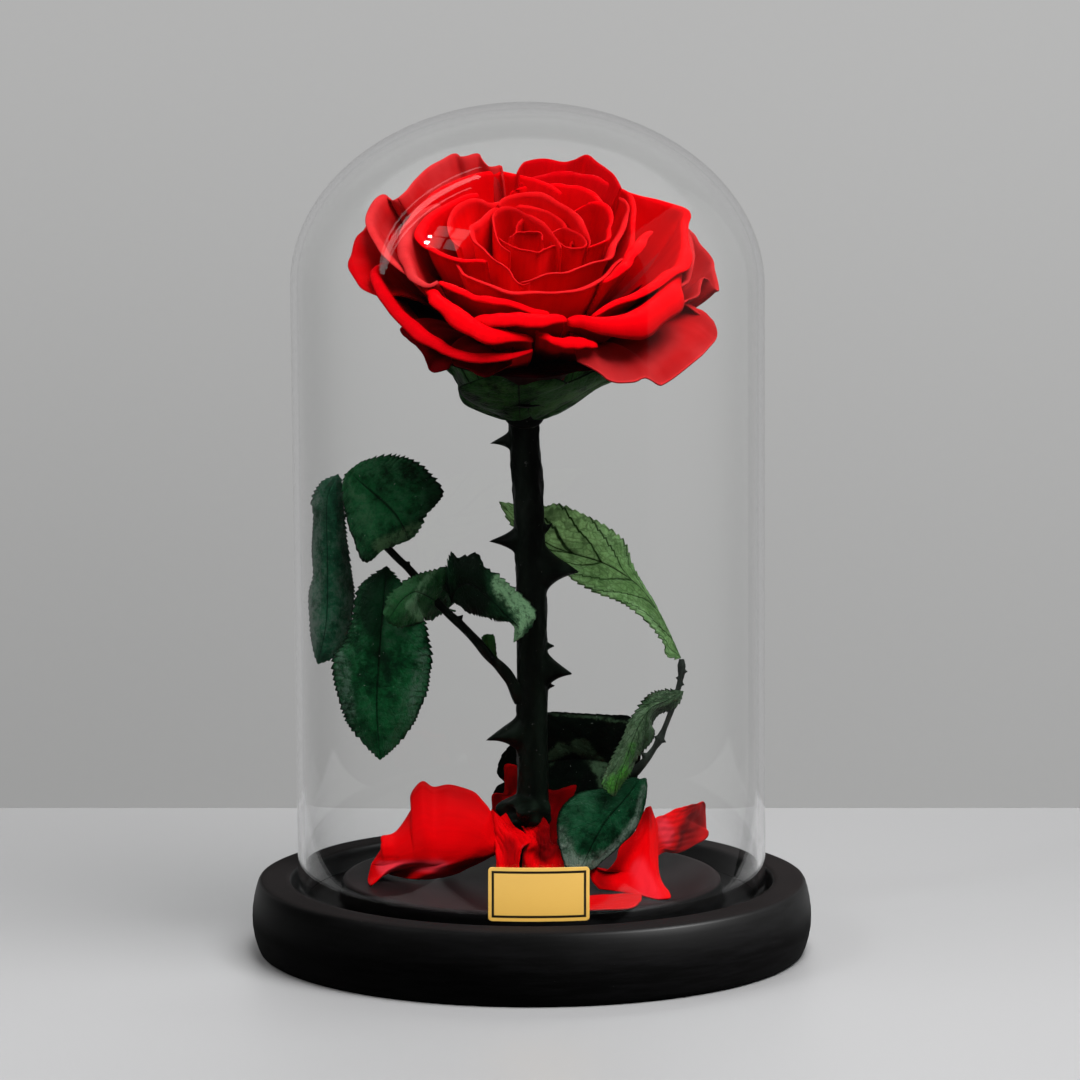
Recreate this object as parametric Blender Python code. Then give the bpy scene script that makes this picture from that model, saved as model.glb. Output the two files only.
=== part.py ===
# A preserved rose under a glass dome, standing on a turned wooden base.
# The front faces -Y, +Z is up and the origin is the middle of the base's underside.
# Sizes are in millimetres and become metres where a mesh is made.
import math

import bmesh
import bpy
import numpy as np

MM = 0.001
GAP = 0.3  # air between pieces that touch

# Turned base
BASE_R = 95.0  # at the widest, half way up the side
BASE_FOOT_R = 92.5
BASE_WIDEST_Z = 12.0
BASE_SIDE_Z = (1.0, 6.0, 12.0, 18.0, 23.9)
BASE_EDGE = 0.9  # width of the slanted edges at the foot and at the rim
RIM_R = 92.9
RIM_INNER_R = 81.9
RIM_Z = 24.5
CHANNEL_Z = 17.2
PLATEAU_R = 64.1
PLATEAU_FOOT_R = 65.2
PLATEAU_Z = 24.9
TURNED_SIDES = 36

# Glass dome
DOME_R = 79.4
DOME_WALL = 2.4
DOME_TOP_Z = 286.5
DOME_CAP_HEIGHT = 61.2
DOME_LEAN = -0.0072  # sideways for each millimetre up: the blown dome leans a little to the left

# Plaque on the glass
PLAQUE_WIDTH = 32.6
PLAQUE_THICK = 0.6
PLAQUE_Z = (25.4, 42.9)
PLAQUE_X = 2.3

# Stem, from the base up: x, y, z of its middle
STEM_PATH = ((0.4, 3.0, PLATEAU_Z + GAP), (0.4, 3.0, 50.0), (0.1, 5.0, 84.0), (-0.3, 8.0, 131.5),
             (-1.6, 10.8, 159.0), (-2.6, 12.0, 172.0), (-2.7, 12.1, 177.9))
STEM_R = 5.3
STEM_FOOT_R = 7.4
FOOT_HEIGHT = 9.0
THORN_THICK = 0.55  # of a thorn's height, sideways
THORN_RINGS = ((-0.5, 1.0), (0.15, 0.72), (0.5, 0.34))  # share of the reach and of the root's size
# Thorns: height up the stem, direction round it in degrees (0 is +X, 270 the front), reach, height of the root,
# droop
THORNS = ((172.0, 180, 6.5, 4.5, -1.0), (138.5, 182, 8.5, 7.0, 0.4), (73.0, 184, 10.5, 11.0, -3.0),
          (129.0, 2, 10.6, 13.0, -1.5), (142.0, 350, 3.0, 4.0, 1.0), (94.5, 355, 8.0, 10.0, -1.4),
          (102.5, 5, 2.8, 3.0, 0.0), (89.0, 2, 2.6, 3.0, 0.0), (115.0, 100, 8.0, 8.0, -1.0),
          (66.0, 80, 7.0, 7.0, -1.0), (160.0, 75, 6.0, 6.0, -1.0))

# Flower head: the hip's foot, and the middle of the flower's top
HIP_FOOT = (-2.7, 12.1, 178.6)
FLOWER_TOP = (0.4, -17.4, 243.6)
FLOWER_R = 60.0
DROOP = 25.0  # how far the outer rims hang at the front
DROOP_AT = 290.0  # direction in which they hang lowest
DROOP_BUD = 8.75  # at the flower's axis
DROOP_LAST = 5.0  # more for the outermost petals
LAST_LAYER = 0.93
COLUMN_STEP = 20.0  # degrees between petal columns, the same for all so that their facets lie side by side
TILT = 0.035  # how much further out one side of a petal lies than its middle
TILT_FROM = 0.1  # layer from which a petal has its whole tilt
SIDE_DROP = 0.5  # how much lower a petal's sides end than its middle
SIDE_ROUND = 2.3
PETAL_THICK = 0.0125  # as a share of the flower's radius
# Cup that the petals of one layer follow: radius and height of its curve's four control points, from root to
# rim, each as its value at the axis and what the outermost layer adds. The last two heights are from the
# rim.
CUP_R = ((2.4, 8.6), (4.4, 11.1), (5.5, 38.5), (2.5, 57.5))
CUP_H = ((15.2, -2.3), (31.2, 2.7), (-24.0, 7.0), (0.0, 0.0))
BUD_RIM_H = 66.0
OPEN_RIM_H = 5.0  # how far the open petals' rims stand above the bud's
BUD_LAYER = 0.12
LIP_FROM = 0.78  # share of a petal's height where its rim starts to roll out
LIP_OUT = (0.6, 2.4)
LIP_DOWN = (0.3, 1.7)
ROWS_BELOW = (0.0, 0.22, 0.45)  # shares of a petal's height that all petals have a row at

# Petals from the bud outwards: whorl (0 the axis, 1 the outside), direction, half angle, height of the rim
PETALS = ((0.04, 100, 160, 0.95), (0.11, 80, 100, 1.02), (0.11, 260, 80, 0.97), (0.19, 340, 60, 0.98),
          (0.2, 220, 60, 0.99), (0.19, 100, 60, 1.03), (0.29, 180, 60, 1.0), (0.29, 300, 60, 0.98),
          (0.29, 240, 60, 0.99), (0.29, 60, 60, 1.03), (0.42, 280, 80, 0.98), (0.42, 200, 60, 0.99),
          (0.42, 120, 60, 1.03), (0.42, 20, 60, 1.0), (0.57, 240, 60, 0.96), (0.57, 320, 60, 0.97),
          (0.57, 40, 60, 1.02), (0.57, 100, 60, 1.08), (0.57, 160, 60, 1.0), (0.74, 280, 40, 0.95),
          (0.72, 320, 60, 0.98), (0.745, 220, 60, 0.97), (0.7, 20, 60, 1.0), (0.72, 120, 60, 1.09),
          (0.9, 240, 60, 0.97), (0.88, 300, 40, 0.94), (0.84, 340, 40, 1.0), (0.96, 60, 60, 1.08),
          (0.9, 160, 60, 1.05), (1.02, 320, 40, 0.9), (0.985, 0, 40, 0.92), (1.0, 200, 40, 0.86))

# Hip below the flower: height up its bent middle line and radius there
HIP = ((0.0, 5.4), (1.0, 6.5), (2.2, 6.9), (4.5, 6.7), (8.0, 7.6), (10.8, 9.8), (12.1, 11.2), (12.7, 10.0),
       (14.1, 5.0), (14.9, 0.8))
HIP_SIDES = 12
HIP_BEND_Z = 8.0  # where its middle line has turned from upright to the flower's axis

# Sepals: a shallow bowl under the petals, its axis tipped a little to the front
SEPALS = 5
SEPAL_FIRST = 262.0  # direction of the front one
SEPAL_HALF = 44.0  # half angle
SEPAL_R = (7.9, 28.0)
SEPAL_H = (2.0, 19.0)
SEPAL_TUCK = 1.1  # how far one side lies outside the next sepal
SEPAL_THICK = 0.55
CALYX_TILT = 6.0

# Leaf stalks: x, y, z of their middles
STALK_LEFT = ((-7.0, 3.0, 90.0), (-9.0, 2.6, 97.0), (-12.6, 2.0, 102.6), (-18.4, 0.8, 107.4),
              (-29.4, 0.0, 114.8), (-40.4, -1.0, 127.0), (-49.5, -2.0, 137.5), (-57.5, -2.2, 152.0),
              (-62.1, -2.0, 160.5))
STALK_RIGHT = ((7.2, 10.6, 33.0), (9.6, 10.8, 40.0), (23.3, 8.6, 50.8), (33.5, 7.0, 58.5), (43.7, 8.0, 68.3),
               (47.8, 9.4, 78.3), (50.5, 10.0, 86.8), (51.5, 10.0, 95.5))
STALK_R = (1.9, 0.95)  # at the foot and at the tip
STALK_RINGS = 13

# Leaves: middle vein from the stalk to the tip, the widths of the two halves, the direction across the leaf at
# the stalk and at the tip, how far each half folds up from the vein and curls on in degrees (minus is the other
# way), where each half is widest (1 is the middle, more is nearer the tip) and how blunt the ends are (less is
# blunter)
LEAVES = {
    "leaf_left_top": dict(
        vein=((-60.9, -3.2, 161.0), (-53.0, -8.0, 156.5), (-45.0, -10.0, 148.8), (-38.0, -10.5, 141.5)),
        half=(18.6, 15.4), across=((-0.62, -0.1, -0.78), (-0.7, 0.0, -0.7)),
        fold=(-8, -6), curl=(-25, -34), peak=(1.3, 1.15), blunt=0.45),
    "leaf_left_outer": dict(
        vein=((-64.0, -1.4, 161.9), (-67.2, 0.0, 148.0), (-67.0, 1.5, 124.0), (-71.5, 3.0, 97.0)),
        half=(8.3, 8.3), across=((-0.9, 0.43, 0.0), (-0.9, 0.43, 0.0)),
        fold=(-6, -10), curl=(-24, -24), peak=(0.85, 0.85), blunt=0.4),
    "leaf_left_hanging": dict(
        vein=((-47.8, -3.6, 134.6), (-49.0, -8.6, 119.0), (-49.4, -12.6, 92.0), (-51.4, -11.0, 67.0)),
        half=(16.6, 16.9), across=((-0.98, 0.05, 0.1), (-0.98, 0.1, 0.0)),
        fold=(6, 2), curl=(18, 4), peak=(1.15, 0.95), blunt=0.62),
    "leaf_left_folded": dict(
        vein=((-28.9, -1.9, 116.0), (-31.5, -12.5, 121.5), (-38.0, -20.5, 121.0), (-43.5, -23.0, 113.5)),
        half=(9.2, 9.0), across=((-0.05, -0.25, 0.95), (0.1, -0.35, 0.9)),
        fold=(18, 14), curl=(46, 40), peak=(0.85, 0.85), blunt=0.62),
    "leaf_left_curled": dict(
        vein=((-24.8, -1.1, 113.3), (-20.5, -8.0, 124.0), (-12.7, -12.0, 120.5), (-3.6, -14.0, 109.6)),
        half=(8.8, 10.6), across=((0.1, 0.1, 0.99), (0.7, 0.15, 0.66)),
        fold=(16, 14), curl=(40, 36), peak=(0.8, 0.7), blunt=0.55),
    "leaf_right_top": dict(
        vein=((51.45, 10.6, 96.6), (37.0, 16.0, 121.0), (14.5, 21.0, 133.5), (-11.4, 20.0, 150.5)),
        half=(12.8, 11.5), across=((-0.8, 0.1, -0.6), (-0.45, 0.1, -0.9)),
        fold=(8, 6), curl=(14, 12), peak=(2.1, 1.3), blunt=0.75),
    "leaf_right_folded": dict(
        vein=((50.4, 8.2, 86.2), (43.4, 0.0, 82.0), (34.0, -8.0, 69.0), (26.8, -14.0, 52.0)),
        half=(8.6, 7.8), across=((0.55, 0.35, 0.75), (0.9, 0.3, 0.1)),
        fold=(26, 24), curl=(30, 34), peak=(0.8, 0.8), blunt=0.5),
    "leaf_right_low": dict(
        vein=((35.4, 5.4, 58.4), (30.6, -4.0, 52.5), (22.0, -15.0, 45.5), (11.6, -29.0, 34.6)),
        half=(11.5, 11.5), across=((-0.5, 0.2, 0.8), (-0.6, 0.45, 0.6)),
        fold=(-8, -8), curl=(-24, -24), peak=(0.9, 0.9), blunt=0.5),
    "leaf_right_dark": dict(
        vein=((34.3, 9.1, 59.7), (24.0, 19.0, 64.0), (6.0, 23.0, 63.5), (-13.4, 22.0, 54.5)),
        half=(15.0, 14.6), across=((0.1, 0.25, 0.95), (0.1, 0.1, 0.98)),
        fold=(8, 4), curl=(34, 14), peak=(1.1, 0.85), blunt=0.32),
}
LEAF_THICK = 0.5
LEAST_WIDTH = 0.5  # of each half, at the two ends

# Fallen petals, in the same way as the leaves, from the root of the petal to its rim
FALLEN = {
    "fallen_petal_1": dict(
        vein=((-12.2, -3.5, 33.5), (-24.0, 1.0, 41.0), (-38.0, -1.5, 39.0), (-53.4, -12.5, 26.2)),
        half=(17.5, 15.5), across=((0.0, 0.62, 0.78), (0.1, 0.5, 0.86)),
        fold=(-6, 4), curl=(-28, 12), peak=(0.95, 0.76), blunt=0.6),
    "fallen_petal_2": dict(
        vein=((-8.0, -11.0, 25.4), (-8.0, -9.5, 35.0), (-8.5, -6.0, 41.0), (-9.5, -4.5, 45.5)),
        half=(7.5, 7.5), across=((-0.9, 0.3, 0.1), (-0.9, 0.2, 0.1)),
        fold=(10, 10), curl=(30, 30), peak=(0.85, 0.85), blunt=0.5),
    "fallen_petal_3": dict(
        vein=((4.0, -16.0, 25.4), (4.5, -14.0, 34.0), (5.5, -10.5, 40.0), (5.5, -7.5, 44.5)),
        half=(6.5, 7.0), across=((-0.9, 0.2, 0.2), (-0.95, 0.1, 0.0)),
        fold=(14, 8), curl=(36, 28), peak=(0.85, 0.85), blunt=0.5),
    "fallen_petal_4": dict(
        vein=((33.0, -38.0, 25.7), (34.5, -31.0, 31.0), (37.0, -21.0, 39.5), (39.9, -10.5, 49.6)),
        half=(12.0, 11.5), across=((1.0, -0.1, -0.3), (1.0, 0.2, -0.1)),
        fold=(-10, -8), curl=(-30, -24), peak=(0.6, 0.6), blunt=0.55),
    "fallen_petal_5": dict(
        vein=((5.0, -46.0, 26.0), (16.0, -47.5, 26.6), (26.0, -48.5, 27.2), (37.0, -49.5, 26.6)),
        half=(6.5, 6.5), across=((0.1, 1.0, 0.0), (0.1, 1.0, 0.05)),
        fold=(4, 2), curl=(6, 4), peak=(0.85, 0.85), blunt=0.5),
    "fallen_petal_6": dict(
        vein=((41.5, -8.0, 25.6), (46.0, -1.0, 34.0), (53.0, 8.0, 40.0), (60.5, 16.5, 41.5)),
        half=(8.0, 7.5), across=((-0.5, 0.3, 0.8), (-0.4, 0.2, 0.9)),
        fold=(-8, -8), curl=(-22, -18), peak=(1.5, 1.4), blunt=0.6),
    "fallen_petal_7": dict(
        vein=((7.0, 15.5, 25.5), (4.0, 16.2, 38.0), (0.0, 17.0, 50.0), (-3.0, 17.5, 60.0)),
        half=(13.5, 16.0), across=((-0.95, 0.0, -0.2), (-0.95, 0.0, -0.2)),
        fold=(-4, -4), curl=(-12, -12), peak=(1.0, 1.0), blunt=0.5),
}
FALLEN_THICK = 0.6


def clear_scene():
    for ob in list(bpy.data.objects):
        bpy.data.objects.remove(ob, do_unlink=True)


def material(name, color, roughness, metallic=0.0, transmission=0.0):
    mat = bpy.data.materials.new(name)
    mat.use_nodes = True
    shader = mat.node_tree.nodes["Principled BSDF"]
    shader.inputs["Base Color"].default_value = (*color, 1.0)
    shader.inputs["Roughness"].default_value = roughness
    shader.inputs["Metallic"].default_value = metallic
    shader.inputs["Transmission Weight"].default_value = transmission
    mat.diffuse_color = (*color, 1.0)
    return mat


def add_object(name, points, faces, mat):
    """A closed mesh from points in millimetres, its faces turned outwards."""
    mesh = bpy.data.meshes.new(name)
    mesh.from_pydata([tuple(p) for p in np.asarray(points) * MM], [], faces)
    bm = bmesh.new()
    bm.from_mesh(mesh)
    bmesh.ops.recalc_face_normals(bm, faces=bm.faces)
    bm.to_mesh(mesh)
    bm.free()
    mesh.materials.append(mat)
    ob = bpy.data.objects.new(name, mesh)
    bpy.context.scene.collection.objects.link(ob)
    mesh.shade_smooth()
    mesh.set_sharp_from_angle(angle=math.radians(35))
    return ob


def turned(name, profile, sides, mat):
    """A profile of (radius, height) pairs spun round the Z axis, its two ends on the axis."""
    bm = bmesh.new()
    verts = [bm.verts.new((r, 0.0, z)) for r, z in profile]
    edges = [bm.edges.new(pair) for pair in zip(verts, verts[1:])]
    bmesh.ops.spin(bm, geom=verts + edges, cent=(0, 0, 0), axis=(0, 0, 1), angle=2 * math.pi, steps=sides)
    bmesh.ops.remove_doubles(bm, verts=bm.verts, dist=1e-3)
    points = np.array([tuple(v.co) for v in bm.verts])
    faces = [[v.index for v in f.verts] for f in bm.faces]
    bm.free()
    return add_object(name, points, faces, mat)


def slab(name, front, back, mat):
    """A closed sheet between two grids of points, rows by columns."""
    rows, cols = front.shape[:2]
    index = np.arange(rows * cols).reshape(rows, cols)
    under = index + rows * cols
    faces = []
    for i in range(rows - 1):
        for j in range(cols - 1):
            faces.append((index[i, j], index[i, j + 1], index[i + 1, j + 1], index[i + 1, j]))
            faces.append((under[i, j], under[i + 1, j], under[i + 1, j + 1], under[i, j + 1]))
    border = [(0, j) for j in range(cols)] + [(i, cols - 1) for i in range(1, rows)]
    border += [(rows - 1, j) for j in range(cols - 2, -1, -1)] + [(i, 0) for i in range(rows - 2, 0, -1)]
    for a, b in zip(border, border[1:] + border[:1]):
        faces.append((index[a], under[a], under[b], index[b]))
    points = np.concatenate([front.reshape(-1, 3), back.reshape(-1, 3)])
    return add_object(name, points, [tuple(int(k) for k in f) for f in faces], mat)


def smooth_path(points, count):
    """Points at even parameter steps along a Catmull-Rom curve through the given ones."""
    pts = np.array(points, float)
    pts = np.vstack([2 * pts[0] - pts[1], pts, 2 * pts[-1] - pts[-2]])
    spans = len(pts) - 3
    s = np.linspace(0, spans, count)
    k = np.minimum(s.astype(int), spans - 1)
    u = (s - k)[:, None]
    a, b, c, d = pts[k], pts[k + 1], pts[k + 2], pts[k + 3]
    return 0.5 * (2 * b + (c - a) * u + (2 * a - 5 * b + 4 * c - d) * u**2 + (3 * b - a - 3 * c + d) * u**3)


def unit(v):
    return v / np.linalg.norm(v, axis=-1, keepdims=True)


def tube_rings(path, radii, sides, side_hint):
    """Rings round a path, each at right angles to it."""
    tangent = unit(np.gradient(path, axis=0))
    first = unit(np.cross(tangent, np.array(side_hint, float)))
    second = np.cross(tangent, first)
    angle = np.linspace(0, 2 * math.pi, sides, endpoint=False)
    ring = first[:, None] * np.cos(angle)[None, :, None] + second[:, None] * np.sin(angle)[None, :, None]
    return path[:, None] + ring * np.asarray(radii)[:, None, None]


def tube(name, path, radii, sides, side_hint, mat):
    rings = tube_rings(path, radii, sides, side_hint)
    count = len(rings)
    faces = [tuple(range(sides)), tuple(range((count - 1) * sides, count * sides))]
    for i in range(count - 1):
        for j in range(sides):
            k = (j + 1) % sides
            faces.append((i * sides + j, i * sides + k, (i + 1) * sides + k, (i + 1) * sides + j))
    return add_object(name, rings.reshape(-1, 3), faces, mat)


def base_profile():
    bulge = BASE_R - BASE_FOOT_R
    side = [(BASE_R - bulge * ((z - BASE_WIDEST_Z) / BASE_WIDEST_Z) ** 2, z) for z in BASE_SIDE_Z]
    foot = [(0, 0), (BASE_FOOT_R - BASE_EDGE, 0)]
    rim = [(RIM_R - BASE_EDGE, RIM_Z), (RIM_INNER_R, RIM_Z), (RIM_INNER_R, CHANNEL_Z)]
    return foot + side + rim + [(PLATEAU_FOOT_R, CHANNEL_Z), (PLATEAU_R, PLATEAU_Z), (0, PLATEAU_Z)]


def dome_profile(steps=6):
    """Up the outside to the apex, and down the inside to the foot: the cap is half an ellipse."""
    foot = CHANNEL_Z + GAP
    cap_z = DOME_TOP_Z - DOME_CAP_HEIGHT
    angles = [math.pi / 2 * k / steps for k in range(steps + 1)]
    outer = [(DOME_R * math.cos(a), cap_z + DOME_CAP_HEIGHT * math.sin(a)) for a in angles]
    inner_r = DOME_R - DOME_WALL
    inner_cap = DOME_CAP_HEIGHT - DOME_WALL
    inner = [(inner_r * math.cos(a), cap_z + inner_cap * math.sin(a)) for a in reversed(angles)]
    return outer[:-1] + [(0, DOME_TOP_Z)], [(0, inner[0][1])] + inner[1:], foot


def make_dome(mat):
    outer, inner, foot = dome_profile()
    bm = bmesh.new()
    for line in ([(DOME_R, foot)] + outer, inner + [(DOME_R - DOME_WALL, foot)]):
        verts = [bm.verts.new((r, 0.0, z)) for r, z in line]
        edges = [bm.edges.new(pair) for pair in zip(verts, verts[1:])]
        bmesh.ops.spin(bm, geom=verts + edges, cent=(0, 0, 0), axis=(0, 0, 1), angle=math.tau,
                       steps=TURNED_SIDES)
    bmesh.ops.remove_doubles(bm, verts=bm.verts, dist=1e-3)
    open_edges = [e for e in bm.edges if e.is_boundary]
    bmesh.ops.bridge_loops(bm, edges=open_edges)
    points = np.array([tuple(v.co) for v in bm.verts])
    points[:, 0] += DOME_LEAN * (points[:, 2] - foot)
    bm.verts.index_update()
    faces = [[v.index for v in f.verts] for f in bm.faces]
    bm.free()
    return add_object("glass_dome", points, faces, mat)


def make_plaque(mat, cols=5):
    """A thin plate that follows the round of the glass."""
    inner = DOME_R + GAP
    angle = np.linspace(-0.5, 0.5, cols) * PLAQUE_WIDTH / inner + PLAQUE_X / inner
    grid = []
    for radius in (inner + PLAQUE_THICK, inner):
        row = [np.stack([radius * np.sin(angle), -radius * np.cos(angle), angle * 0 + z], 1) for z in PLAQUE_Z]
        grid.append(np.array(row))
    return slab("plaque", grid[0], grid[1], mat)


def thorn_mesh(height, turn, reach, root, droop):
    """A flat-sided curved spine: a lens-shaped foot inside the stem that narrows to a point."""
    heights = np.array([p[2] for p in STEM_PATH])
    middle = np.array([np.interp(height, heights, [p[k] for p in STEM_PATH]) for k in range(3)])
    out = np.array([math.cos(math.radians(turn)), math.sin(math.radians(turn)), 0.0])
    side = np.cross(out, (0, 0, 1.0))
    up = np.array([0, 0, 1.0])
    rings = []
    for share, size in THORN_RINGS:
        mid = middle + out * (STEM_R + share * reach) + up * droop * max(share, 0.0) ** 2
        lens = [up * root / 2, side * root / 2 * THORN_THICK, -up * root / 2, -side * root / 2 * THORN_THICK]
        rings.append([mid + v * size for v in lens])
    tip = middle + out * (STEM_R + reach) + up * droop
    points = [p for ring in rings for p in ring] + [tip]
    faces = [(0, 1, 2, 3)]
    for i in range(2):
        faces += [(4 * i + j, 4 * i + (j + 1) % 4, 4 * i + 4 + (j + 1) % 4, 4 * i + 4 + j) for j in range(4)]
    faces += [(8 + j, 8 + (j + 1) % 4, 12) for j in range(4)]
    return points, faces


def make_stem(mat):
    path = smooth_path(STEM_PATH, 12)
    grow = np.exp(-(path[:, 2] - PLATEAU_Z) / FOOT_HEIGHT)
    stem = tube("stem", path, STEM_R + (STEM_FOOT_R - STEM_R) * grow, 12, (0, 1, 0), mat)
    points = []
    faces = []
    for thorn in THORNS:
        more, sides = thorn_mesh(*thorn)
        faces += [tuple(k + len(points) for k in f) for f in sides]
        points += more
    spines = add_object("thorns_cutter", points, faces, mat)
    spines.hide_render = True
    spines.display_type = "WIRE"
    fuse = stem.modifiers.new("thorns", "BOOLEAN")
    fuse.operation = "UNION"
    fuse.object = spines
    return stem


# Flower head. A point of it has a layer (0 the axis, 1 the outermost petals), a direction round the axis and a
# share of the way from the petal's root to its rim. The layers are nested cups, so their petals never meet.
def cup_profile(layer, share):
    """Radius from the flower's axis and height along it: a cubic curve with an outward lip at the rim."""
    rim = BUD_RIM_H + OPEN_RIM_H * (1 - np.exp(-layer / BUD_LAYER)) - layer**2
    weights = ((1 - share) ** 3, 3 * share * (1 - share) ** 2, 3 * share**2 * (1 - share), share**3)
    radius = sum(w * (start + more * layer) for w, (start, more) in zip(weights, CUP_R))
    height = sum(w * (start + more * layer) for w, (start, more) in zip(weights, CUP_H))
    lip = np.clip((share - LIP_FROM) / (1 - LIP_FROM), 0, 1.5)
    radius += (LIP_OUT[0] + LIP_OUT[1] * layer) * lip**2
    height += (weights[2] + weights[3]) * rim - (LIP_DOWN[0] + LIP_DOWN[1] * layer) * lip**3
    return radius, height


def flower_axes():
    axis = unit(np.array(FLOWER_TOP) - np.array(HIP_FOOT))
    right = unit(np.cross((0.0, 1.0, 0.0), axis))
    return right, np.cross(axis, right), axis


def flower_place(radius, height, turn, layer):
    """From radius, height and direction in degrees to x, y, z. The rims hang at the front."""
    angle = np.radians(turn)
    toward = (1 + np.cos(angle - math.radians(DROOP_AT))) / 2
    last = np.clip((layer - LAST_LAYER) / (1 - LAST_LAYER), 0, 1)
    depth = DROOP_BUD + (DROOP - DROOP_BUD) * layer + DROOP_LAST * last
    hang = depth * toward * (radius / FLOWER_R) ** 3
    right, back, axis = flower_axes()
    x, y = radius * np.cos(angle), radius * np.sin(angle)
    foot = np.array(HIP_FOOT)
    return foot + x[..., None] * right + y[..., None] * back + (height - hang)[..., None] * axis


def petal_grids(whorl, direction, half, top):
    """The inner and the outer face of a petal: a rounded outline, one side tucked under its neighbour."""
    cols = int(round(2 * half / COLUMN_STEP)) + 1
    u = np.linspace(-1, 1, cols)
    rim = top * (1 - SIDE_DROP * np.abs(u) ** SIDE_ROUND)
    low = [np.full(cols, v) for v in ROWS_BELOW]
    last = ROWS_BELOW[-1]
    share = np.array(low + [last + (rim - last) * 0.5, rim])
    layer = whorl + TILT * np.broadcast_to(u, share.shape) * min(1.0, whorl / TILT_FROM)
    turn = np.broadcast_to(direction + half * u, share.shape)
    grids = []
    for shift in (0.0, PETAL_THICK):
        radius, height = cup_profile(layer + shift, share)
        grids.append(flower_place(radius, height, turn, layer))
    return grids


def make_hip(mat):
    """Rings along a middle line that starts upright on the stem and bends to the flower's axis."""
    heights, radii = np.array(HIP).T
    bend = np.clip(heights / HIP_BEND_Z, 0, 1)[:, None]
    line = unit((1 - bend) * np.array((0, 0, 1.0)) + bend * flower_axes()[2])
    tube("rose_hip", np.array(HIP_FOOT) + heights[:, None] * line, radii, HIP_SIDES, (0, 1, 0), mat)


def sepal_grids(number):
    """A pointed blade from the hip's side up under the petals, one side of it outside the next blade."""
    u = np.linspace(-1, 1, 5)
    s = np.linspace(0, 1, 5)[:, None]
    half = SEPAL_HALF * (0.86 + 0.34 * s - 1.12 * s**3)
    angle = np.radians(SEPAL_FIRST + number * 360.0 / SEPALS + u * half)
    tuck = SEPAL_TUCK * u * (0.6 + 0.4 * s)
    radius = SEPAL_R[0] + (SEPAL_R[1] - SEPAL_R[0]) * s + 0.5 * tuck
    height = SEPAL_H[0] + (SEPAL_H[1] - SEPAL_H[0]) * s**2.2 - 0.85 * tuck
    tilt = math.radians(CALYX_TILT)
    right = np.array((1.0, 0, 0))
    back = np.array((0, math.cos(tilt), math.sin(tilt)))
    axis = np.cross(right, back)
    across = (radius * np.cos(angle))[..., None] * right + (radius * np.sin(angle))[..., None] * back
    inner = np.array(HIP_FOOT) + across + height[..., None] * axis
    return [inner, inner - SEPAL_THICK * axis]


def blade_grid(vein, half, across, fold, curl, peak, blunt, rows, side_cols):
    """A leaf's surface: a smooth curve for the vein, and each half bends up from it along an arc."""
    path = smooth_path(vein, rows)
    tangent = unit(np.gradient(path, axis=0))
    s = np.linspace(0, 1, rows)[:, None]
    flat = np.array(across[0], float) * (1 - s) + np.array(across[1], float) * s
    flat = unit(flat - (flat * tangent).sum(1, keepdims=True) * tangent)
    normal = np.cross(tangent, flat)
    columns = []
    for k, sign in enumerate((-1, 1)):
        start, bend = math.radians(fold[k]), math.radians(curl[k])
        width = half[k] * np.abs(np.sin(math.pi * s[:, 0] ** peak[k])) ** blunt + LEAST_WIDTH
        outward = []
        for q in np.linspace(0, 1, side_cols + 1)[1:]:
            along = (math.sin(start + bend * q) - math.sin(start)) / bend
            lift = (math.cos(start) - math.cos(start + bend * q)) / bend
            outward.append(path + width[:, None] * (sign * along * flat + lift * normal))
        columns.append(outward)
    return np.stack(columns[0][::-1] + [path] + columns[1], axis=1)


def thicken(grid, thick):
    """Two faces half the thickness to each side of a grid."""
    along = np.gradient(grid, axis=0)
    over = np.gradient(grid, axis=1)
    normal = unit(np.cross(along, over))
    return grid + normal * thick / 2, grid - normal * thick / 2


def make_blades(table, thick, rows, mat):
    for name, leaf in table.items():
        front, back = thicken(blade_grid(rows=rows, side_cols=2, **leaf), thick)
        slab(name, front, back, mat)


def main():
    clear_scene()
    wood = material("black_wood", (0.012, 0.012, 0.012), 0.38)
    glass = material("clear_glass", (0.95, 0.97, 0.97), 0.02, transmission=1.0)
    gilt = material("gilt", (0.86, 0.62, 0.24), 0.28, metallic=1.0)
    bark = material("stem_bark", (0.012, 0.022, 0.016), 0.55)
    green = material("leaf_green", (0.015, 0.07, 0.032), 0.5)
    red = material("petal_red", (0.62, 0.006, 0.008), 0.5)

    turned("base", base_profile(), TURNED_SIDES, wood)
    make_dome(glass)
    make_plaque(gilt)
    make_stem(bark)
    make_hip(green)
    for number in range(SEPALS):
        slab(f"sepal_{number + 1}", *sepal_grids(number), green)
    for number, petal in enumerate(PETALS):
        slab(f"petal_{number + 1:02d}", *petal_grids(*petal), red)
    for name, path in (("leaf_stalk_left", STALK_LEFT), ("leaf_stalk_right", STALK_RIGHT)):
        tube(name, smooth_path(path, STALK_RINGS), np.linspace(*STALK_R, STALK_RINGS), 6, (0, 1, 0), bark)
    make_blades(LEAVES, LEAF_THICK, 7, green)
    make_blades(FALLEN, FALLEN_THICK, 6, red)


main()
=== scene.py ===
# A preserved rose under a glass dome: the looks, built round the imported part.
import itertools
import math

import bmesh
import bpy
import numpy as np
from mathutils import Matrix, Vector


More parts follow.
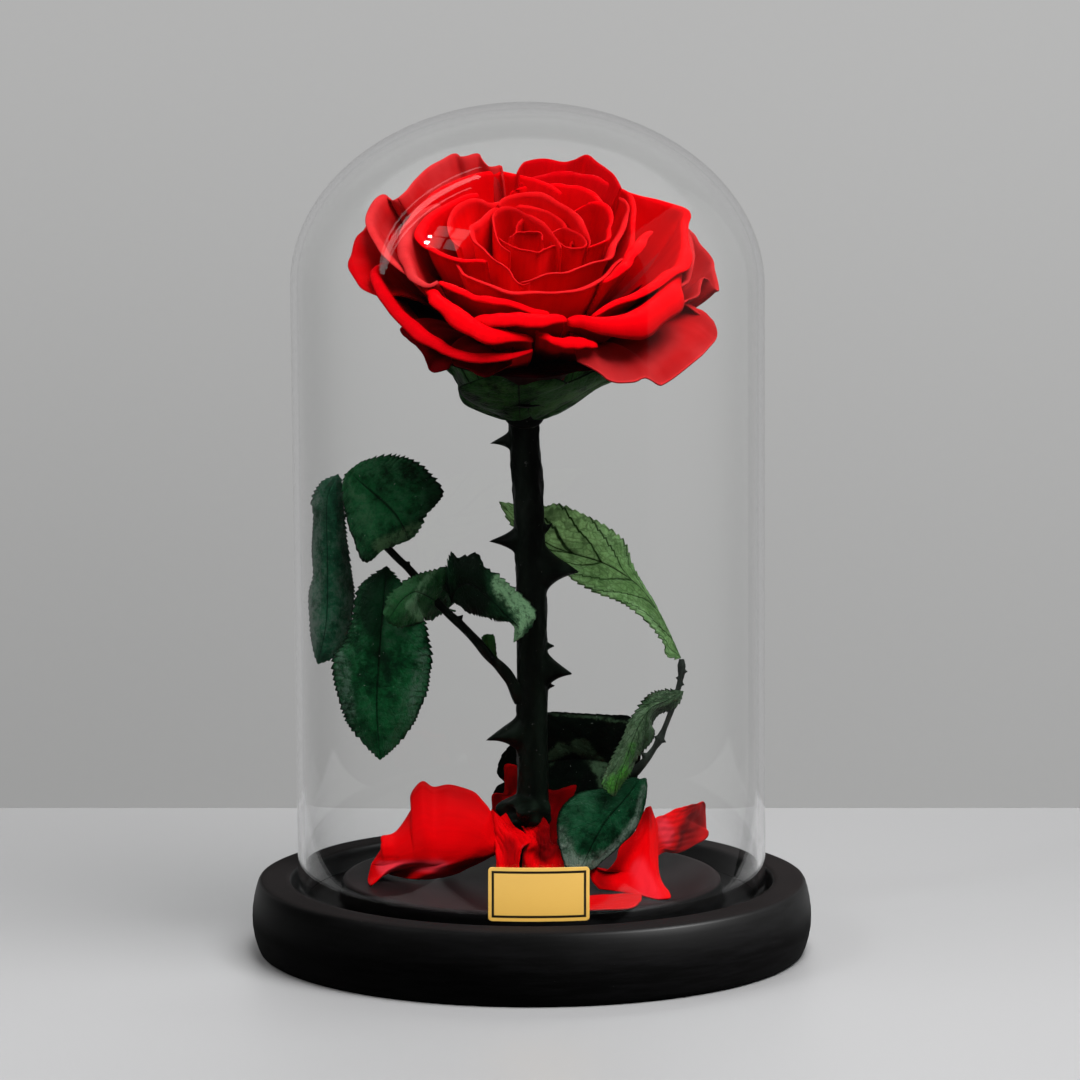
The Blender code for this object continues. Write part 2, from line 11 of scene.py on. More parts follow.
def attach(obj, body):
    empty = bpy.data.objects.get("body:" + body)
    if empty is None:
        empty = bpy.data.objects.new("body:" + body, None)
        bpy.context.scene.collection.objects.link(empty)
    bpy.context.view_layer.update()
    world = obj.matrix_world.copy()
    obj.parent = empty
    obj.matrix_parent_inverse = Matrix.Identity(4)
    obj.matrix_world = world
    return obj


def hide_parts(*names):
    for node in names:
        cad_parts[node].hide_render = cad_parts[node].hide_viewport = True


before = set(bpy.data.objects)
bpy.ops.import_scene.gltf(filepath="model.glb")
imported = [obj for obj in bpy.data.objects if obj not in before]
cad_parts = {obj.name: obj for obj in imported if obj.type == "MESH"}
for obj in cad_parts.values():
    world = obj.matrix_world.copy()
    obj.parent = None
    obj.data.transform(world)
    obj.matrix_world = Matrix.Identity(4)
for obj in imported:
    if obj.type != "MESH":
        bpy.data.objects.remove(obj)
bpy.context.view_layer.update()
mm = 0.001
print("frame loaded")


# Small tools

# a shader socket that can be added, multiplied and so on; each operation adds one Math node
class Value:
    def __init__(self, finish, socket):
        self.finish, self.socket = finish, socket

    def math(self, operation, *others):
        return self.finish.node("ShaderNodeMath", {"operation": operation}, [self, *others])

    def __add__(self, other):
        return self.math("ADD", other)

    def __sub__(self, other):
        return self.math("SUBTRACT", other)

    def __mul__(self, other):
        return self.math("MULTIPLY", other)

    def __rsub__(self, other):
        return self.finish.node("ShaderNodeMath", {"operation": "SUBTRACT"}, [other, self])

    __radd__ = __add__
    __rmul__ = __mul__

    def between(self, low, high):  # 0 at low, 1 at high, smooth in the middle
        return self.finish.node("ShaderNodeMapRange", {"interpolation_type": "SMOOTHSTEP"},
                                {"Value": self, "From Min": low, "From Max": high})


# a material with its Principled shader, which takes the constants, or the given tree of the world's nodes
class Finish:
    def __init__(self, name, tree=None, **constants):
        if tree:
            self.tree = tree
            return
        self.material = bpy.data.materials.new(name)
        self.material.use_nodes = True
        self.tree = self.material.node_tree
        self.shader = self.tree.nodes["Principled BSDF"]
        for key, value in constants.items():
            self.shader.inputs[key.replace("_", " ")].default_value = value

    # any node, from its type, its settings and the values or links of its sockets
    def node(self, kind, settings=None, values=None, out=0):
        made = self.tree.nodes.new(kind)
        for key, value in (settings or {}).items():
            setattr(made, key, value)
        pairs = values.items() if isinstance(values, dict) else enumerate(values or [])
        for key, value in pairs:
            if isinstance(value, Value):
                self.tree.links.new(value.socket, made.inputs[key])
            else:
                made.inputs[key].default_value = value
        return Value(self, made.outputs[out])

    def parts(self, vector):  # its x, y and z
        made = self.node("ShaderNodeSeparateXYZ", None, {"Vector": vector}).socket.node
        return [Value(self, made.outputs[axis]) for axis in "XYZ"]

    def objectPlace(self):
        return self.node("ShaderNodeTexCoord", out="Object")

    def sheetPlace(self):  # across and along, from the piece's own UV map
        return self.parts(self.node("ShaderNodeUVMap", {"uv_map": "sheet"}))[:2]

    def attribute(self, name):
        return self.node("ShaderNodeAttribute", {"attribute_name": name}, out="Fac")

    # grain at a scale per metre, in the object's own space or at a given place
    def noise(self, scale, detail=4.0, roughness=0.5, stretch=None, place=None):
        place = place or self.objectPlace()
        if stretch:
            place = self.node("ShaderNodeMapping", None, {"Vector": place, "Scale": stretch})
        return self.node("ShaderNodeTexNoise", None,
                         {"Vector": place, "Scale": scale, "Detail": detail, "Roughness": roughness})

    def point(self, x, y):
        return self.node("ShaderNodeCombineXYZ", None, {"X": x, "Y": y, "Z": 0.0})

    def mix(self, factor, first, second, blend="MIX"):  # of two colours, each a value or three numbers
        first, second = (c if isinstance(c, Value) else (*c, 1) for c in (first, second))
        return self.node("ShaderNodeMix", {"data_type": "RGBA", "blend_type": blend, "clamp_factor": True},
                         {0: factor, 6: first, 7: second}, out=2)

    def feed(self, **values):  # values to the shader's own sockets
        for key, value in values.items():
            self.tree.links.new(value.socket, self.shader.inputs[key.replace("_", " ")])

    def bump(self, height, distance, strength):
        self.feed(Normal=self.node("ShaderNodeBump", None,
                                   {"Height": height, "Distance": distance, "Strength": strength}))

    def shareWith(self, share, other):  # a share of the surface goes to another shader
        own = Value(self, self.shader.outputs[0])
        both = self.node("ShaderNodeMixShader", None, {0: share, 1: own, 2: other})
        self.tree.links.new(both.socket, self.tree.nodes["Material Output"].inputs["Surface"])


# vectors divided by their own lengths
def unit(v):
    return v / np.maximum(np.linalg.norm(v, axis=-1, keepdims=True), 1e-9)


# points at even distances along a smooth (Catmull-Rom) curve through the given ones
def evenPath(points, count):
    pts = np.array(points, float)
    pts = np.vstack([2 * pts[0] - pts[1], pts, 2 * pts[-1] - pts[-2]])
    spans = len(pts) - 3
    s = np.linspace(0, spans, 60 * spans + 1)
    k = np.minimum(s.astype(int), spans - 1)
    u = (s - k)[:, None]
    a, b, c, d = pts[k], pts[k + 1], pts[k + 2], pts[k + 3]
    line = 0.5 * (2 * b + (c - a) * u + (2 * a - 5 * b + 4 * c - d) * u**2 + (3 * b - a - 3 * c + d) * u**3)
    run = np.concatenate([[0], np.cumsum(np.linalg.norm(np.diff(line, axis=0), axis=1))])
    want = np.linspace(0, run[-1], count)
    return np.stack([np.interp(want, run, line[:, i]) for i in range(line.shape[1])], 1)


# a mesh from a grid of points in millimetres, rows by columns; wrap joins the last column to the first,
# ring the last row to the first; merge welds points that fall together, as at a pole; uv and pale go
# with the points
def gridMesh(name, grid, finish, wrap=False, ring=False, uv=None, merge=False, pale=None):
    rows, cols = grid.shape[:2]
    index = np.arange(rows * cols).reshape(rows, cols)
    i = np.arange(rows if ring else rows - 1)[:, None]
    j = np.arange(cols if wrap else cols - 1)[None, :]
    i2, j2 = (i + 1) % rows, (j + 1) % cols
    faces = np.stack([index[i, j], index[i, j2], index[i2, j2], index[i2, j]], -1).reshape(-1, 4)
    mesh = bpy.data.meshes.new(name)
    mesh.vertices.add(rows * cols)
    mesh.vertices.foreach_set("co", (grid.reshape(-1, 3) * mm).astype(np.float32).ravel())
    mesh.loops.add(len(faces) * 4)
    mesh.loops.foreach_set("vertex_index", faces.astype(np.int32).ravel())
    mesh.polygons.add(len(faces))
    mesh.polygons.foreach_set("loop_start", np.arange(0, len(faces) * 4, 4, dtype=np.int32))
    if uv is not None:
        layer = mesh.uv_layers.new(name="sheet")
        layer.data.foreach_set("uv", uv.reshape(-1, 2)[faces.ravel()].astype(np.float32).ravel())
    if pale is not None:
        layer = mesh.attributes.new("pale", "FLOAT", "POINT")
        layer.data.foreach_set("value", pale.astype(np.float32).ravel())
    mesh.update(calc_edges=True)
    if merge:
        bm = bmesh.new()
        bm.from_mesh(mesh)
        bmesh.ops.remove_doubles(bm, verts=bm.verts, dist=1e-7)
        bmesh.ops.dissolve_degenerate(bm, edges=bm.edges, dist=1e-8)
        bm.to_mesh(mesh)
        bm.free()
    mesh.shade_smooth()
    mesh.materials.append(finish.material)
    piece = bpy.data.objects.new(name, mesh)
    bpy.context.scene.collection.objects.link(piece)
    return piece


# a sheet gets a wall, inwards for offset -1 and to both sides for 0
def thicken(piece, thickness, offset=-1.0):
    wall = piece.modifiers.new("thickness", "SOLIDIFY")
    wall.thickness, wall.offset = thickness * mm, offset
    wall.use_even_offset = False


# every piece rides on the one body; the nodes are those that it stands for
def finishPiece(piece, slot, *nodes):
    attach(piece, "root")
    if nodes:
        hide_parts(*nodes)
    return piece


# sums of sine waves with seeded phases: a soft random surface over the two parameters of a sheet
def waves(u, v, seed, count, uMost, vMost):
    draw = np.random.default_rng(seed)
    total = np.zeros(np.broadcast(u, v).shape)
    for _ in range(count):
        a, b, phase = draw.uniform(-uMost, uMost), draw.uniform(-vMost, vMost), draw.uniform(0, 2 * math.pi)
        total = total + np.sin(2 * math.pi * (a * u + b * v) + phase)
    return total / math.sqrt(count)


# the same round a closed ring: whole numbers of waves in the angle, so that the seam meets itself
def ringWaves(angle, z, seed, count, mostRound, mostUp):
    draw = np.random.default_rng(seed)
    total = np.zeros(np.broadcast(angle, z).shape)
    for _ in range(count):
        turns, up = draw.integers(1, mostRound + 1), draw.uniform(-mostUp, mostUp)
        total = total + np.sin(turns * angle + up * z + draw.uniform(0, 2 * math.pi))
    return total / math.sqrt(count)


# angles round a ring, as one row, without the last, which is the first again
def roundAngles(count):
    return np.linspace(0, 2 * math.pi, count, endpoint=False)[None, :]


# an angle less a direction in degrees, brought to within half a turn
def angleFrom(angle, degrees):
    return (angle - math.radians(degrees) + math.pi) % (2 * math.pi) - math.pi


# rings of points, closed by a pole at each end of their middle line
def capped(line, rings):
    poles = [np.broadcast_to(line[k], (1, *rings.shape[1:])) for k in (0, -1)]
    return np.concatenate([poles[0], rings, poles[1]])


# the unit normals of a grid, from its differences along rows and columns
def gridNormals(grid):
    return unit(np.cross(np.gradient(grid, axis=1), np.gradient(grid, axis=0)))


# Finishes

petalLook = dict(
    # colours as red and blue; rim's is blue alone, because each finish gives its red
    root=(0.012, 0.0002), body=(0.68, 0.0012), rim=0.003, streak=(0.3, 0.001), patch=(0.86, 0.003),
    bodyFrom=0.42, rimFrom=0.95, rimTo=1.06, streaked=0.16, patched=0.25, patchScale=55.0,
    streakSize=(30, 1.4), fineSize=(90, 5),  # number across and along
    # a loose petal's base red, its painted highlight colour, its painted shade colour and the painted
    # shade's largest share
    fallen=(0.66, 0.0, 0.0014), paintedHighlight=(0.74, 0.035, 0.055), paintedShade=(0.03, 0.0, 0.0004), paintedShadeShare=0.93)


# A petal is a red that deepens towards its root, partly its own colour and partly painted shade deep in
# the flower, with faint streaks along it and soft patches. shade scales the red, so that the finishes are
# lit and shaded copies of one red: painted light and shade. lit is the red of the rim, painted light along
# it. The paleness of the body and of the rim, which the patches share, is a painted pink sheen and a
# painted reflection of the glass. A loose petal has no root: its pale attribute gives painted highlights,
# and painted shade where it is negative.
def petalFinish(name="redPetal", shade=1.0, loose=False, paintedSheen=(0.0, 0.0), lit=0.82):
    look = petalLook

    def red(strength, blue, paleness=0.0):  # a colour
        return (strength * shade, paleness, blue + paleness)

    def stretched(size):  # the place for grain that runs along the petal
        return f.point(across * size[0], along * size[1])

    f = Finish(name, Specular_IOR_Level=0.03, Sheen_Weight=0.08, Sheen_Roughness=0.5,
               Sheen_Tint=(1.0, 0.03, 0.04, 1))
    across, along = f.sheetPlace()
    streaks = f.noise(1.0, 3.0, 0.55, place=stretched(look["streakSize"]))
    fine = f.noise(1.0, 4.0, 0.6, place=stretched(look["fineSize"]))
    patches = f.noise(look["patchScale"], 3.0, 0.6)
    if loose:
        pale = f.attribute("pale")
        # painted highlight where pale is positive, painted shade where it is negative
        highlightShare = (pale * (0.6 + patches * 0.8)).between(0.0, 1.0)
        rim = f.mix((pale * -1).between(0.0, 1.0) * look["paintedShadeShare"],
                    f.mix(highlightShare, look["fallen"], look["paintedHighlight"]), look["paintedShade"])
    else:
        # painted shade darkens the body towards the root, over the petal's own deeper red; the rim's red is
        # painted light
        fromRoot = along.between(look["bodyFrom"], look["rimFrom"])
        body = f.mix(fromRoot, red(*look["root"]), red(*look["body"], paintedSheen[0]))
        rim = f.mix(along.between(look["rimFrom"], look["rimTo"]), body, red(lit, look["rim"], paintedSheen[1]))
    streaky = f.mix(streaks.between(0.3, 0.75) * look["streaked"], rim, red(*look["streak"]))
    # the patches take a share of the painted pink sheen
    patchy = patches.between(0.35, 0.75) * (look["patched"] + paintedSheen[1] * 8)
    patch = red(*look["patch"], paintedSheen[1] * 2)
    f.feed(Base_Color=f.mix(patchy, streaky, patch), Roughness=0.48 + streaks * 0.2)
    f.bump(streaks * 0.4 + fine * 0.35 + patches * 0.6, 0.0005, 0.3)
    return f


leafLook = dict(veins=7, veinSlant=1.3, veinCurve=0.7, veinWander=0.9, netSize=(13, 24), netWander=(4, 5),
                wanderScale=60.0, mottleScale=190.0, cloudScale=480.0, broadScale=45.0, speckScale=800.0,
                shadow=0.6, margin=0.12, vein=0.4, rib=0.15,  # shares of the deep colour
                speck=(0.22, 0.26, 0.22))


# A leaf is a mottled blade between a deep and a light colour. On it lie, one over the other: dust,
# thicker near the margin; where its pale attribute is positive the under side's colour, which is the real
# under side where an edge turns over and a painted highlight on the dark leaf, and painted shadow where
# that is negative; a net of fine veins; a dark, worn margin; side veins that leave the middle at a
# slant; the midrib; white specks. dusty and veiny are the strengths of dust and veins. through is the
# colour of light that comes through, and clear how much does.
def leafFinish(name, deep, light, dust, under, gloss=0.4, dusty=0.5, veiny=0.2, through=(0.01, 0.03, 0.01),
               clear=0.2):
    look = leafLook

    def dark(share):  # a share of the deep colour
        return tuple(share * part for part in deep)

    f = Finish(name, Specular_IOR_Level=0.12)
    across, along = f.sheetPlace()
    pale = f.attribute("pale")
    side = (across - 0.5).math("ABSOLUTE") * 2
    bent = f.noise(look["wanderScale"], 2.0)
    slant = along * look["veins"] - side * look["veinSlant"] - side * side * look["veinCurve"]
    slant = slant + bent * look["veinWander"]
    branch = 1 - ((slant.math("FRACT") - 0.5).math("ABSOLUTE") * 2).between(0.83, 0.95) * veiny
    cells = f.point(across * look["netSize"][0] + bent * look["netWander"][0],
                    along * look["netSize"][1] + bent * look["netWander"][1])
    net = f.node("ShaderNodeTexVoronoi", {"feature": "DISTANCE_TO_EDGE"},
                 {"Vector": cells, "Scale": 1.0}).between(0.02, 0.14)
    midrib = side.between(0.0, 0.05)
    mottle = f.noise(look["mottleScale"], 7.0, 0.78)
    cloud = f.noise(look["cloudScale"], 4.0, 0.75)
    broad = f.noise(look["broadScale"], 3.0, 0.6)
    specks = f.noise(look["speckScale"], 2.0, 0.5).between(0.72, 0.76)
    grainy = (mottle * 0.5 + cloud * 0.5).between(0.38, 0.62)
    body = f.mix((mottle * 0.6 + broad * 0.4).between(0.38, 0.6), deep, light)
    bloom = (mottle * 0.4 + cloud * 0.3 + broad * 0.3 + side * 0.07).between(0.5, 0.64)
    bloomed = f.mix(bloom * dusty, body, dust)
    # positive pale: the under side's colour, a painted highlight on the dark leaf; negative: painted shadow
    turned = f.mix((pale * (grainy + 0.3)).between(0.1, 1.1), bloomed, under)
    shadowed = f.mix((pale * -1).between(0.0, 1.0) * 0.85, turned, dark(look["shadow"]))
    netted = f.mix((1 - net) * 0.6 * veiny, shadowed, dark(look["shadow"]))
    worn = f.mix((side + cloud * 0.1).between(0.97, 1.04) * 0.9, netted, dark(look["margin"]))
    veined = f.mix((1 - branch) * 0.8, worn, dark(look["vein"]))
    ribbed = f.mix((1 - midrib) * 0.85, veined, dark(look["rib"]))
    f.feed(Base_Color=f.mix(specks * 0.6, ribbed, look["speck"]), Roughness=gloss + mottle * 0.25)
    f.bump(midrib * 0.8 + branch * 0.5 + net * 0.3 + mottle * 0.5 + cloud * 0.5, 0.0006, 0.7)
    thin = branch.math("MINIMUM", midrib) * (0.55 + grainy * 0.6) * (0.7 + net * 0.3) * clear
    f.shareWith(thin, f.node("ShaderNodeBsdfTranslucent", None, {"Color": (*through, 1)}))
    return f


barkLook = dict(streakScale=160.0, streakStretch=(1.0, 1.0, 0.1), patchScale=45.0,
                patchStretch=(1.0, 1.0, 0.5), speckScale=700.0, speck=(0.1, 0.1, 0.095))


# bark: long streaks between a deep and a light colour, greyed in patches, with pale specks
def barkFinish(name, deep, light, grey):
    look = barkLook
    f = Finish(name, Specular_IOR_Level=0.12)
    streaks = f.noise(look["streakScale"], 4.0, 0.6, stretch=look["streakStretch"])
    patches = f.noise(look["patchScale"], 4.0, 0.6, stretch=look["patchStretch"])
    specks = f.noise(look["speckScale"], 2.0, 0.5)
    body = f.mix(streaks.between(0.35, 0.7), deep, light)
    greyed = f.mix(patches.between(0.5, 0.72) * streaks.between(0.4, 0.7), body, grey)
    f.feed(Base_Color=f.mix(specks.between(0.7, 0.76) * 0.5, greyed, look["speck"]),
           Roughness=0.4 + patches * 0.3)
    f.bump(streaks + patches * 0.6, 0.0006, 0.45)
    return f


lacquer = dict(
    outerFrom=(0.079, 0.083), levelFrom=(0.0239, 0.0244), roundFrom=(0.010, 0.022),  # metres
    black=(0.0006, 0.0006, 0.0006), lighter=(0.0016, 0.0016, 0.0017), middleDust=(0.005, 0.0028, 0.003),
    rimDust=(0.0055, 0.0046, 0.0046), speck=(0.12, 0.115, 0.11),
    grainScale=60.0, grainStretch=(1.0, 1.0, 9.0), dustScale=900.0, cloudScale=28.0)


# satin black lacquer; its shine is thick where the side rounds over, and dust lies on the level parts
def lacquerFinish(look):
    f = Finish("blackLacquer", IOR=1.08, Coat_Roughness=0.45, Coat_IOR=1.17)
    grain = f.noise(look["grainScale"], 5.0, 0.6, stretch=look["grainStretch"])
    dust = f.noise(look["dustScale"], 3.0, 0.7)
    cloud = f.noise(look["cloudScale"], 4.0, 0.6)
    x, y, z = f.parts(f.objectPlace())
    outer = (x * x + y * y).math("SQRT").between(*look["outerFrom"])
    level = z.between(*look["levelFrom"])
    rounded = z.between(*look["roundFrom"]) * (1 - level) * outer
    body = f.mix(grain.between(0.35, 0.7), look["black"], look["lighter"])
    dusty = f.mix(level * (0.3 + cloud * 0.9), body, f.mix(outer, look["middleDust"], look["rimDust"]))
    f.feed(Base_Color=f.mix(dust.between(0.68, 0.8) * (0.1 + level * 0.3), dusty, look["speck"]),
           Roughness=0.36 + outer * 0.28 + cloud * 0.1, Coat_Weight=rounded)
    f.bump(grain + dust * 0.3, 0.0002, 0.25)
    return f


gilded = dict(
    width=32.6, height=17.5, corner=1.1, lineIn=1.5, lineWide=0.8, thick=0.6, low=25.4, side=2.3,
    glassRadius=79.4, gap=0.3, softEdge=0.15, cols=40, rows=40, brushSize=(14, 420),
    gold=((0.99, 0.57, 0.11), (1.0, 0.61, 0.13)), upper=(1.0, 0.66, 0.2), line=(0.004, 0.003, 0.002))


# gilding brushed sideways and lighter towards the top, with one dark line round the plate near its edge
def gildedFinish(look):
    f = Finish("gildedPlate", Metallic=0.1)
    across, up = f.sheetPlace()
    brushed = f.noise(1.0, 3.0, 0.6, place=f.point(across * look["brushSize"][0], up * look["brushSize"][1]))
    gold = f.mix(up.between(0.1, 1.0) * 0.3, f.mix(brushed.between(0.3, 0.7), *look["gold"]), look["upper"])
    sideIn = (0.5 - (across - 0.5).math("ABSOLUTE")) * look["width"]
    topIn = (0.5 - (up - 0.5).math("ABSOLUTE")) * look["height"]
    far = (sideIn.math("MINIMUM", topIn) - look["lineIn"]).math("ABSOLUTE")
    line = 1 - far.between(look["lineWide"] * 0.35, look["lineWide"] * 0.65)
    f.feed(Base_Color=f.mix(line, gold, look["line"]), Roughness=0.26 + brushed * 0.08)
    f.bump(brushed * 0.4 - line * 0.6, 0.0001, 0.2)
    return f


# clear glass; shadow and diffuse rays pass straight through it, so that the lamps light what is inside
def glassFinish():
    f = Finish("clearGlass", Roughness=0.0, IOR=1.32, Transmission_Weight=1.0,
               Base_Color=(0.998, 1.0, 0.999, 1))
    shadow, diffuse = (f.node("ShaderNodeLightPath", out=ray) for ray in ("Is Shadow Ray", "Is Diffuse Ray"))
    f.shareWith(shadow.math("MAXIMUM", diffuse),
                f.node("ShaderNodeBsdfTransparent", None, {"Color": (0.97, 0.98, 0.98, 1)}))
    return f


# The petal finishes are lit and shaded copies of one red, painted light and shade: the shaded and the deep
# one are painted shade for petals deep in the flower, the side and the outer one darker copies in painted
# shade, the inner one a lighter copy with a dimmer rim; the loose one is plain.
redPetal = petalFinish()
shadedPetal = petalFinish("shadedPetal", 0.22)
deepShadePetal = petalFinish("deepShadePetal", 0.04)
sidePetal = petalFinish("sidePetal", 0.72)
outerPetal = petalFinish("outerPetal", 0.72, paintedSheen=(0.006, 0.022))
innerPetal = petalFinish("innerPetal", 1.2, paintedSheen=(0.0, 0.006), lit=0.5)
loosePetal = petalFinish("loosePetal", loose=True)
stemBark = barkFinish("stemBark", (0.0012, 0.0022, 0.0014), (0.006, 0.011, 0.007), (0.030, 0.038, 0.032))
stalkBark = barkFinish("stalkBark", (0.008, 0.012, 0.009), (0.040, 0.050, 0.042), (0.085, 0.095, 0.085))
blackLacquer = lacquerFinish(lacquer)
gildedPlate = gildedFinish(gilded)
clearGlass = glassFinish()
leafColours = dict(
    leafGreen=dict(deep=(0.001, 0.012, 0.004), light=(0.008, 0.125, 0.034), dust=(0.065, 0.145, 0.085),
                   under=(0.100, 0.220, 0.095), dusty=0.4),
    leafGrey=dict(deep=(0.001, 0.018, 0.006), light=(0.007, 0.125, 0.034), dust=(0.070, 0.130, 0.092),
                  under=(0.110, 0.190, 0.140), dusty=0.45),
    leafPale=dict(deep=(0.008, 0.050, 0.026), light=(0.022, 0.160, 0.075), dust=(0.160, 0.235, 0.190),
                  under=(0.150, 0.220, 0.175), dusty=0.6),
    leafLobe=dict(deep=(0.003, 0.026, 0.008), light=(0.018, 0.125, 0.032), dust=(0.070, 0.150, 0.080),
                  under=(0.130, 0.290, 0.140)),
    # painted light: colours made lighter for light that comes through from behind, beside the real
    # translucency
    leafBright=dict(deep=(0.075, 0.170, 0.050), light=(0.200, 0.390, 0.140), dust=(0.330, 0.470, 0.290),
                    under=(0.3, 0.5, 0.25), dusty=0.6, veiny=1.0, through=(0.75, 0.98, 0.6), clear=0.5),
    leafCurled=dict(deep=(0.001, 0.005, 0.002), light=(0.005, 0.040, 0.013), dust=(0.022, 0.060, 0.032),
                    under=(0.230, 0.440, 0.230), dusty=0.3),
    leafFolded=dict(deep=(0.020, 0.050, 0.020), light=(0.095, 0.170, 0.085), dust=(0.160, 0.230, 0.150),
                    under=(0.065, 0.270, 0.035), veiny=0.8),
    leafGlossy=dict(deep=(0.001, 0.008, 0.003), light=(0.005, 0.060, 0.022), dust=(0.030, 0.065, 0.042),
                    under=(0.120, 0.165, 0.130), gloss=0.22, dusty=0.35),
    # painted shade: near black, a leaf deep in shade behind the stem
    leafDark=dict(deep=(0.0006, 0.0015, 0.001), light=(0.001, 0.0045, 0.0022), dust=(0.005, 0.012, 0.007),
                  under=(0.060, 0.115, 0.060), dusty=0.2),
    calyxGreen=dict(deep=(0.003, 0.020, 0.004), light=(0.035, 0.150, 0.025), dust=(0.05, 0.12, 0.05),
                    under=(0.070, 0.190, 0.045)))
greens = {name: leafFinish(name, **colours) for name, colours in leafColours.items()}
print("finishes made")


# Turned base

turnedBase = dict(
    profile=((0, 0), (88, 0), (91.6, 0.0), (92.6, 0.6), (93.3, 2.2), (94.3, 5.5), (94.9, 9.0), (95, 12.0),
             (94.9, 14.8), (94.4, 18.2), (93.7, 21.2), (93.1, 23.2), (92.6, 24.05), (91.6, 24.45),
             (90.0, 24.5), (84.0, 24.5), (82.5, 24.35), (81.9, 23.7), (81.8, 22.5), (81.8, 18.2),
             (81.3, 17.4), (80.3, 17.2), (66.8, 17.2), (65.6, 17.5), (65.2, 18.4), (64.5, 22.6),
             (64.2, 24.2), (63.5, 24.8), (62.2, 24.9), (40, 24.9), (15, 24.9), (0, 24.9)),
    step=2.5, around=192)


# a profile of (radius, height) pairs carried round an upright axis, which may lean from its foot up
def turned(name, profile, around, finish, lean=0.0, foot=0.0, ring=False):
    angle = roundAngles(around)
    line = np.array(profile, float)
    r, z = line[:, 0][:, None], line[:, 1][:, None]
    grid = np.stack([r * np.cos(angle) + lean * (z - foot), r * np.sin(angle), z + 0 * angle], -1)
    return gridMesh(name, grid, finish, wrap=True, ring=ring, merge=True)


# a profile cut into short straight pieces, so that the shading of long flats stays true
def softProfile(points, step):
    pts = np.array(points, float)
    out = [pts[0]]
    for a, b in zip(pts[:-1], pts[1:]):
        count = max(1, int(np.linalg.norm(b - a) / step))
        out += [a + (b - a) * k / count for k in range(1, count + 1)]
    return out


profile = softProfile(turnedBase["profile"], turnedBase["step"])
base = turned("turnedBase", profile, turnedBase["around"], blackLacquer)
finishPiece(base, "black_wood", "base")
print("base made")


# Glass dome

dome = dict(radius=79.4, wall=2.4, top=286.5, cap=61.2, foot=17.5, lean=-0.0072, around=192, capSteps=48,
            sideSteps=40, sideFrom=1.2, lipInside=((0.5, 0.25), (1.2, 0.0)),
            lipOutside=((-1.2, 0.0), (-0.4, 0.3)))


# up the outside and down the inside: a rounded foot, an upright side and a quarter of an ellipse
def domeProfile(d):
    angle = np.linspace(0, math.pi / 2, d["capSteps"])
    capZ = d["top"] - d["cap"]
    inner = d["radius"] - d["wall"]
    side = np.linspace(d["foot"] + d["sideFrom"], capZ, d["sideSteps"])[:-1]
    lip = [(inner + out, d["foot"] + up) for out, up in d["lipInside"]]
    lip += [(d["radius"] + out, d["foot"] + up) for out, up in d["lipOutside"]]
    outer = [(d["radius"], z) for z in side]
    outer += list(zip(d["radius"] * np.cos(angle), capZ + d["cap"] * np.sin(angle)))
    outer[-1] = (0.0, d["top"])
    under = list(zip(inner * np.cos(angle), capZ + (d["cap"] - d["wall"]) * np.sin(angle)))[::-1]
    under[0] = (0.0, d["top"] - d["wall"])
    return lip + outer + under + [(inner, z) for z in side[::-1]]


glass = turned("glassCover", domeProfile(dome), dome["around"], clearGlass, dome["lean"], dome["foot"],
               ring=True)
finishPiece(glass, "clear_glass", "glass_dome")
print("dome made")


# Plaque

# a plate bent round the glass; its corners are quarter circles, so the rows near them are shorter
def plate(p):
    inner = p["glassRadius"] + p["gap"]
    s = np.linspace(0, 1, p["cols"])[None, :]
    t = (0.5 - 0.5 * np.cos(np.linspace(0, math.pi, p["rows"])))[:, None]
    edge = np.clip(p["corner"] - np.minimum(t, 1 - t) * p["height"], 0, p["corner"])
    less = p["corner"] - np.sqrt(p["corner"] ** 2 - edge**2)
    s = 0.5 + (s - 0.5) * (1 - 2 * less / p["width"])
    angle = (s - 0.5) * p["width"] / inner + p["side"] / inner
    outer = inner + p["thick"]
    grid = np.stack([outer * np.sin(angle), -outer * np.cos(angle), p["low"] + t * p["height"] + 0 * s], -1)
    piece = gridMesh("gildedPlate", grid, gildedPlate, uv=np.stack([s, t + 0 * s], -1))
    thicken(piece, p["thick"])
    soft = piece.modifiers.new("soft edge", "BEVEL")
    soft.width, soft.segments, soft.limit_method = p["softEdge"] * mm, 2, "ANGLE"
    return finishPiece(piece, "gilt", "plaque")


plaque = plate(gilded)
print("plaque made")


# Flower

# the guides of a petal's curve are values at the flower's axis and what the outermost layer adds,
# outwards and up; the neck's are from the rim
flower = dict(
    hipFoot=(-2.7, 12.1, 178.6), top=(0.4, -17.4, 243.6), fullRadius=60, petalThick=0.55,
    rootOut=(2.4, 8.6), bellyOut=(4.4, 11.1), neckOut=(3, -19),
    rootUp=(15.2, -2.3), bellyUp=(31.2, 2.7), neckUp=(-24, 7),
    narrow=0.35, rimUneven=0.16, lipUneven=0.1, lipAtEnds=0.25, petalLength=45,
    rows=34, lipRows=10, colStep=1.3, colsLeast=36, colsMost=96, withNodes=32, innerLast=11)
flowerAxis = unit(np.array(flower["top"]) - np.array(flower["hipFoot"]))
flowerRight = unit(np.cross((0.0, 1.0, 0.0), flowerAxis))
flowerBack = np.cross(flowerAxis, flowerRight)


# from the flower's own directions, right, back and along its axis, to the object's
def fromFlower(x, y, height):
    foot = np.array(flower["hipFoot"])
    return foot + x[..., None] * flowerRight + y[..., None] * flowerBack + height[..., None] * flowerAxis


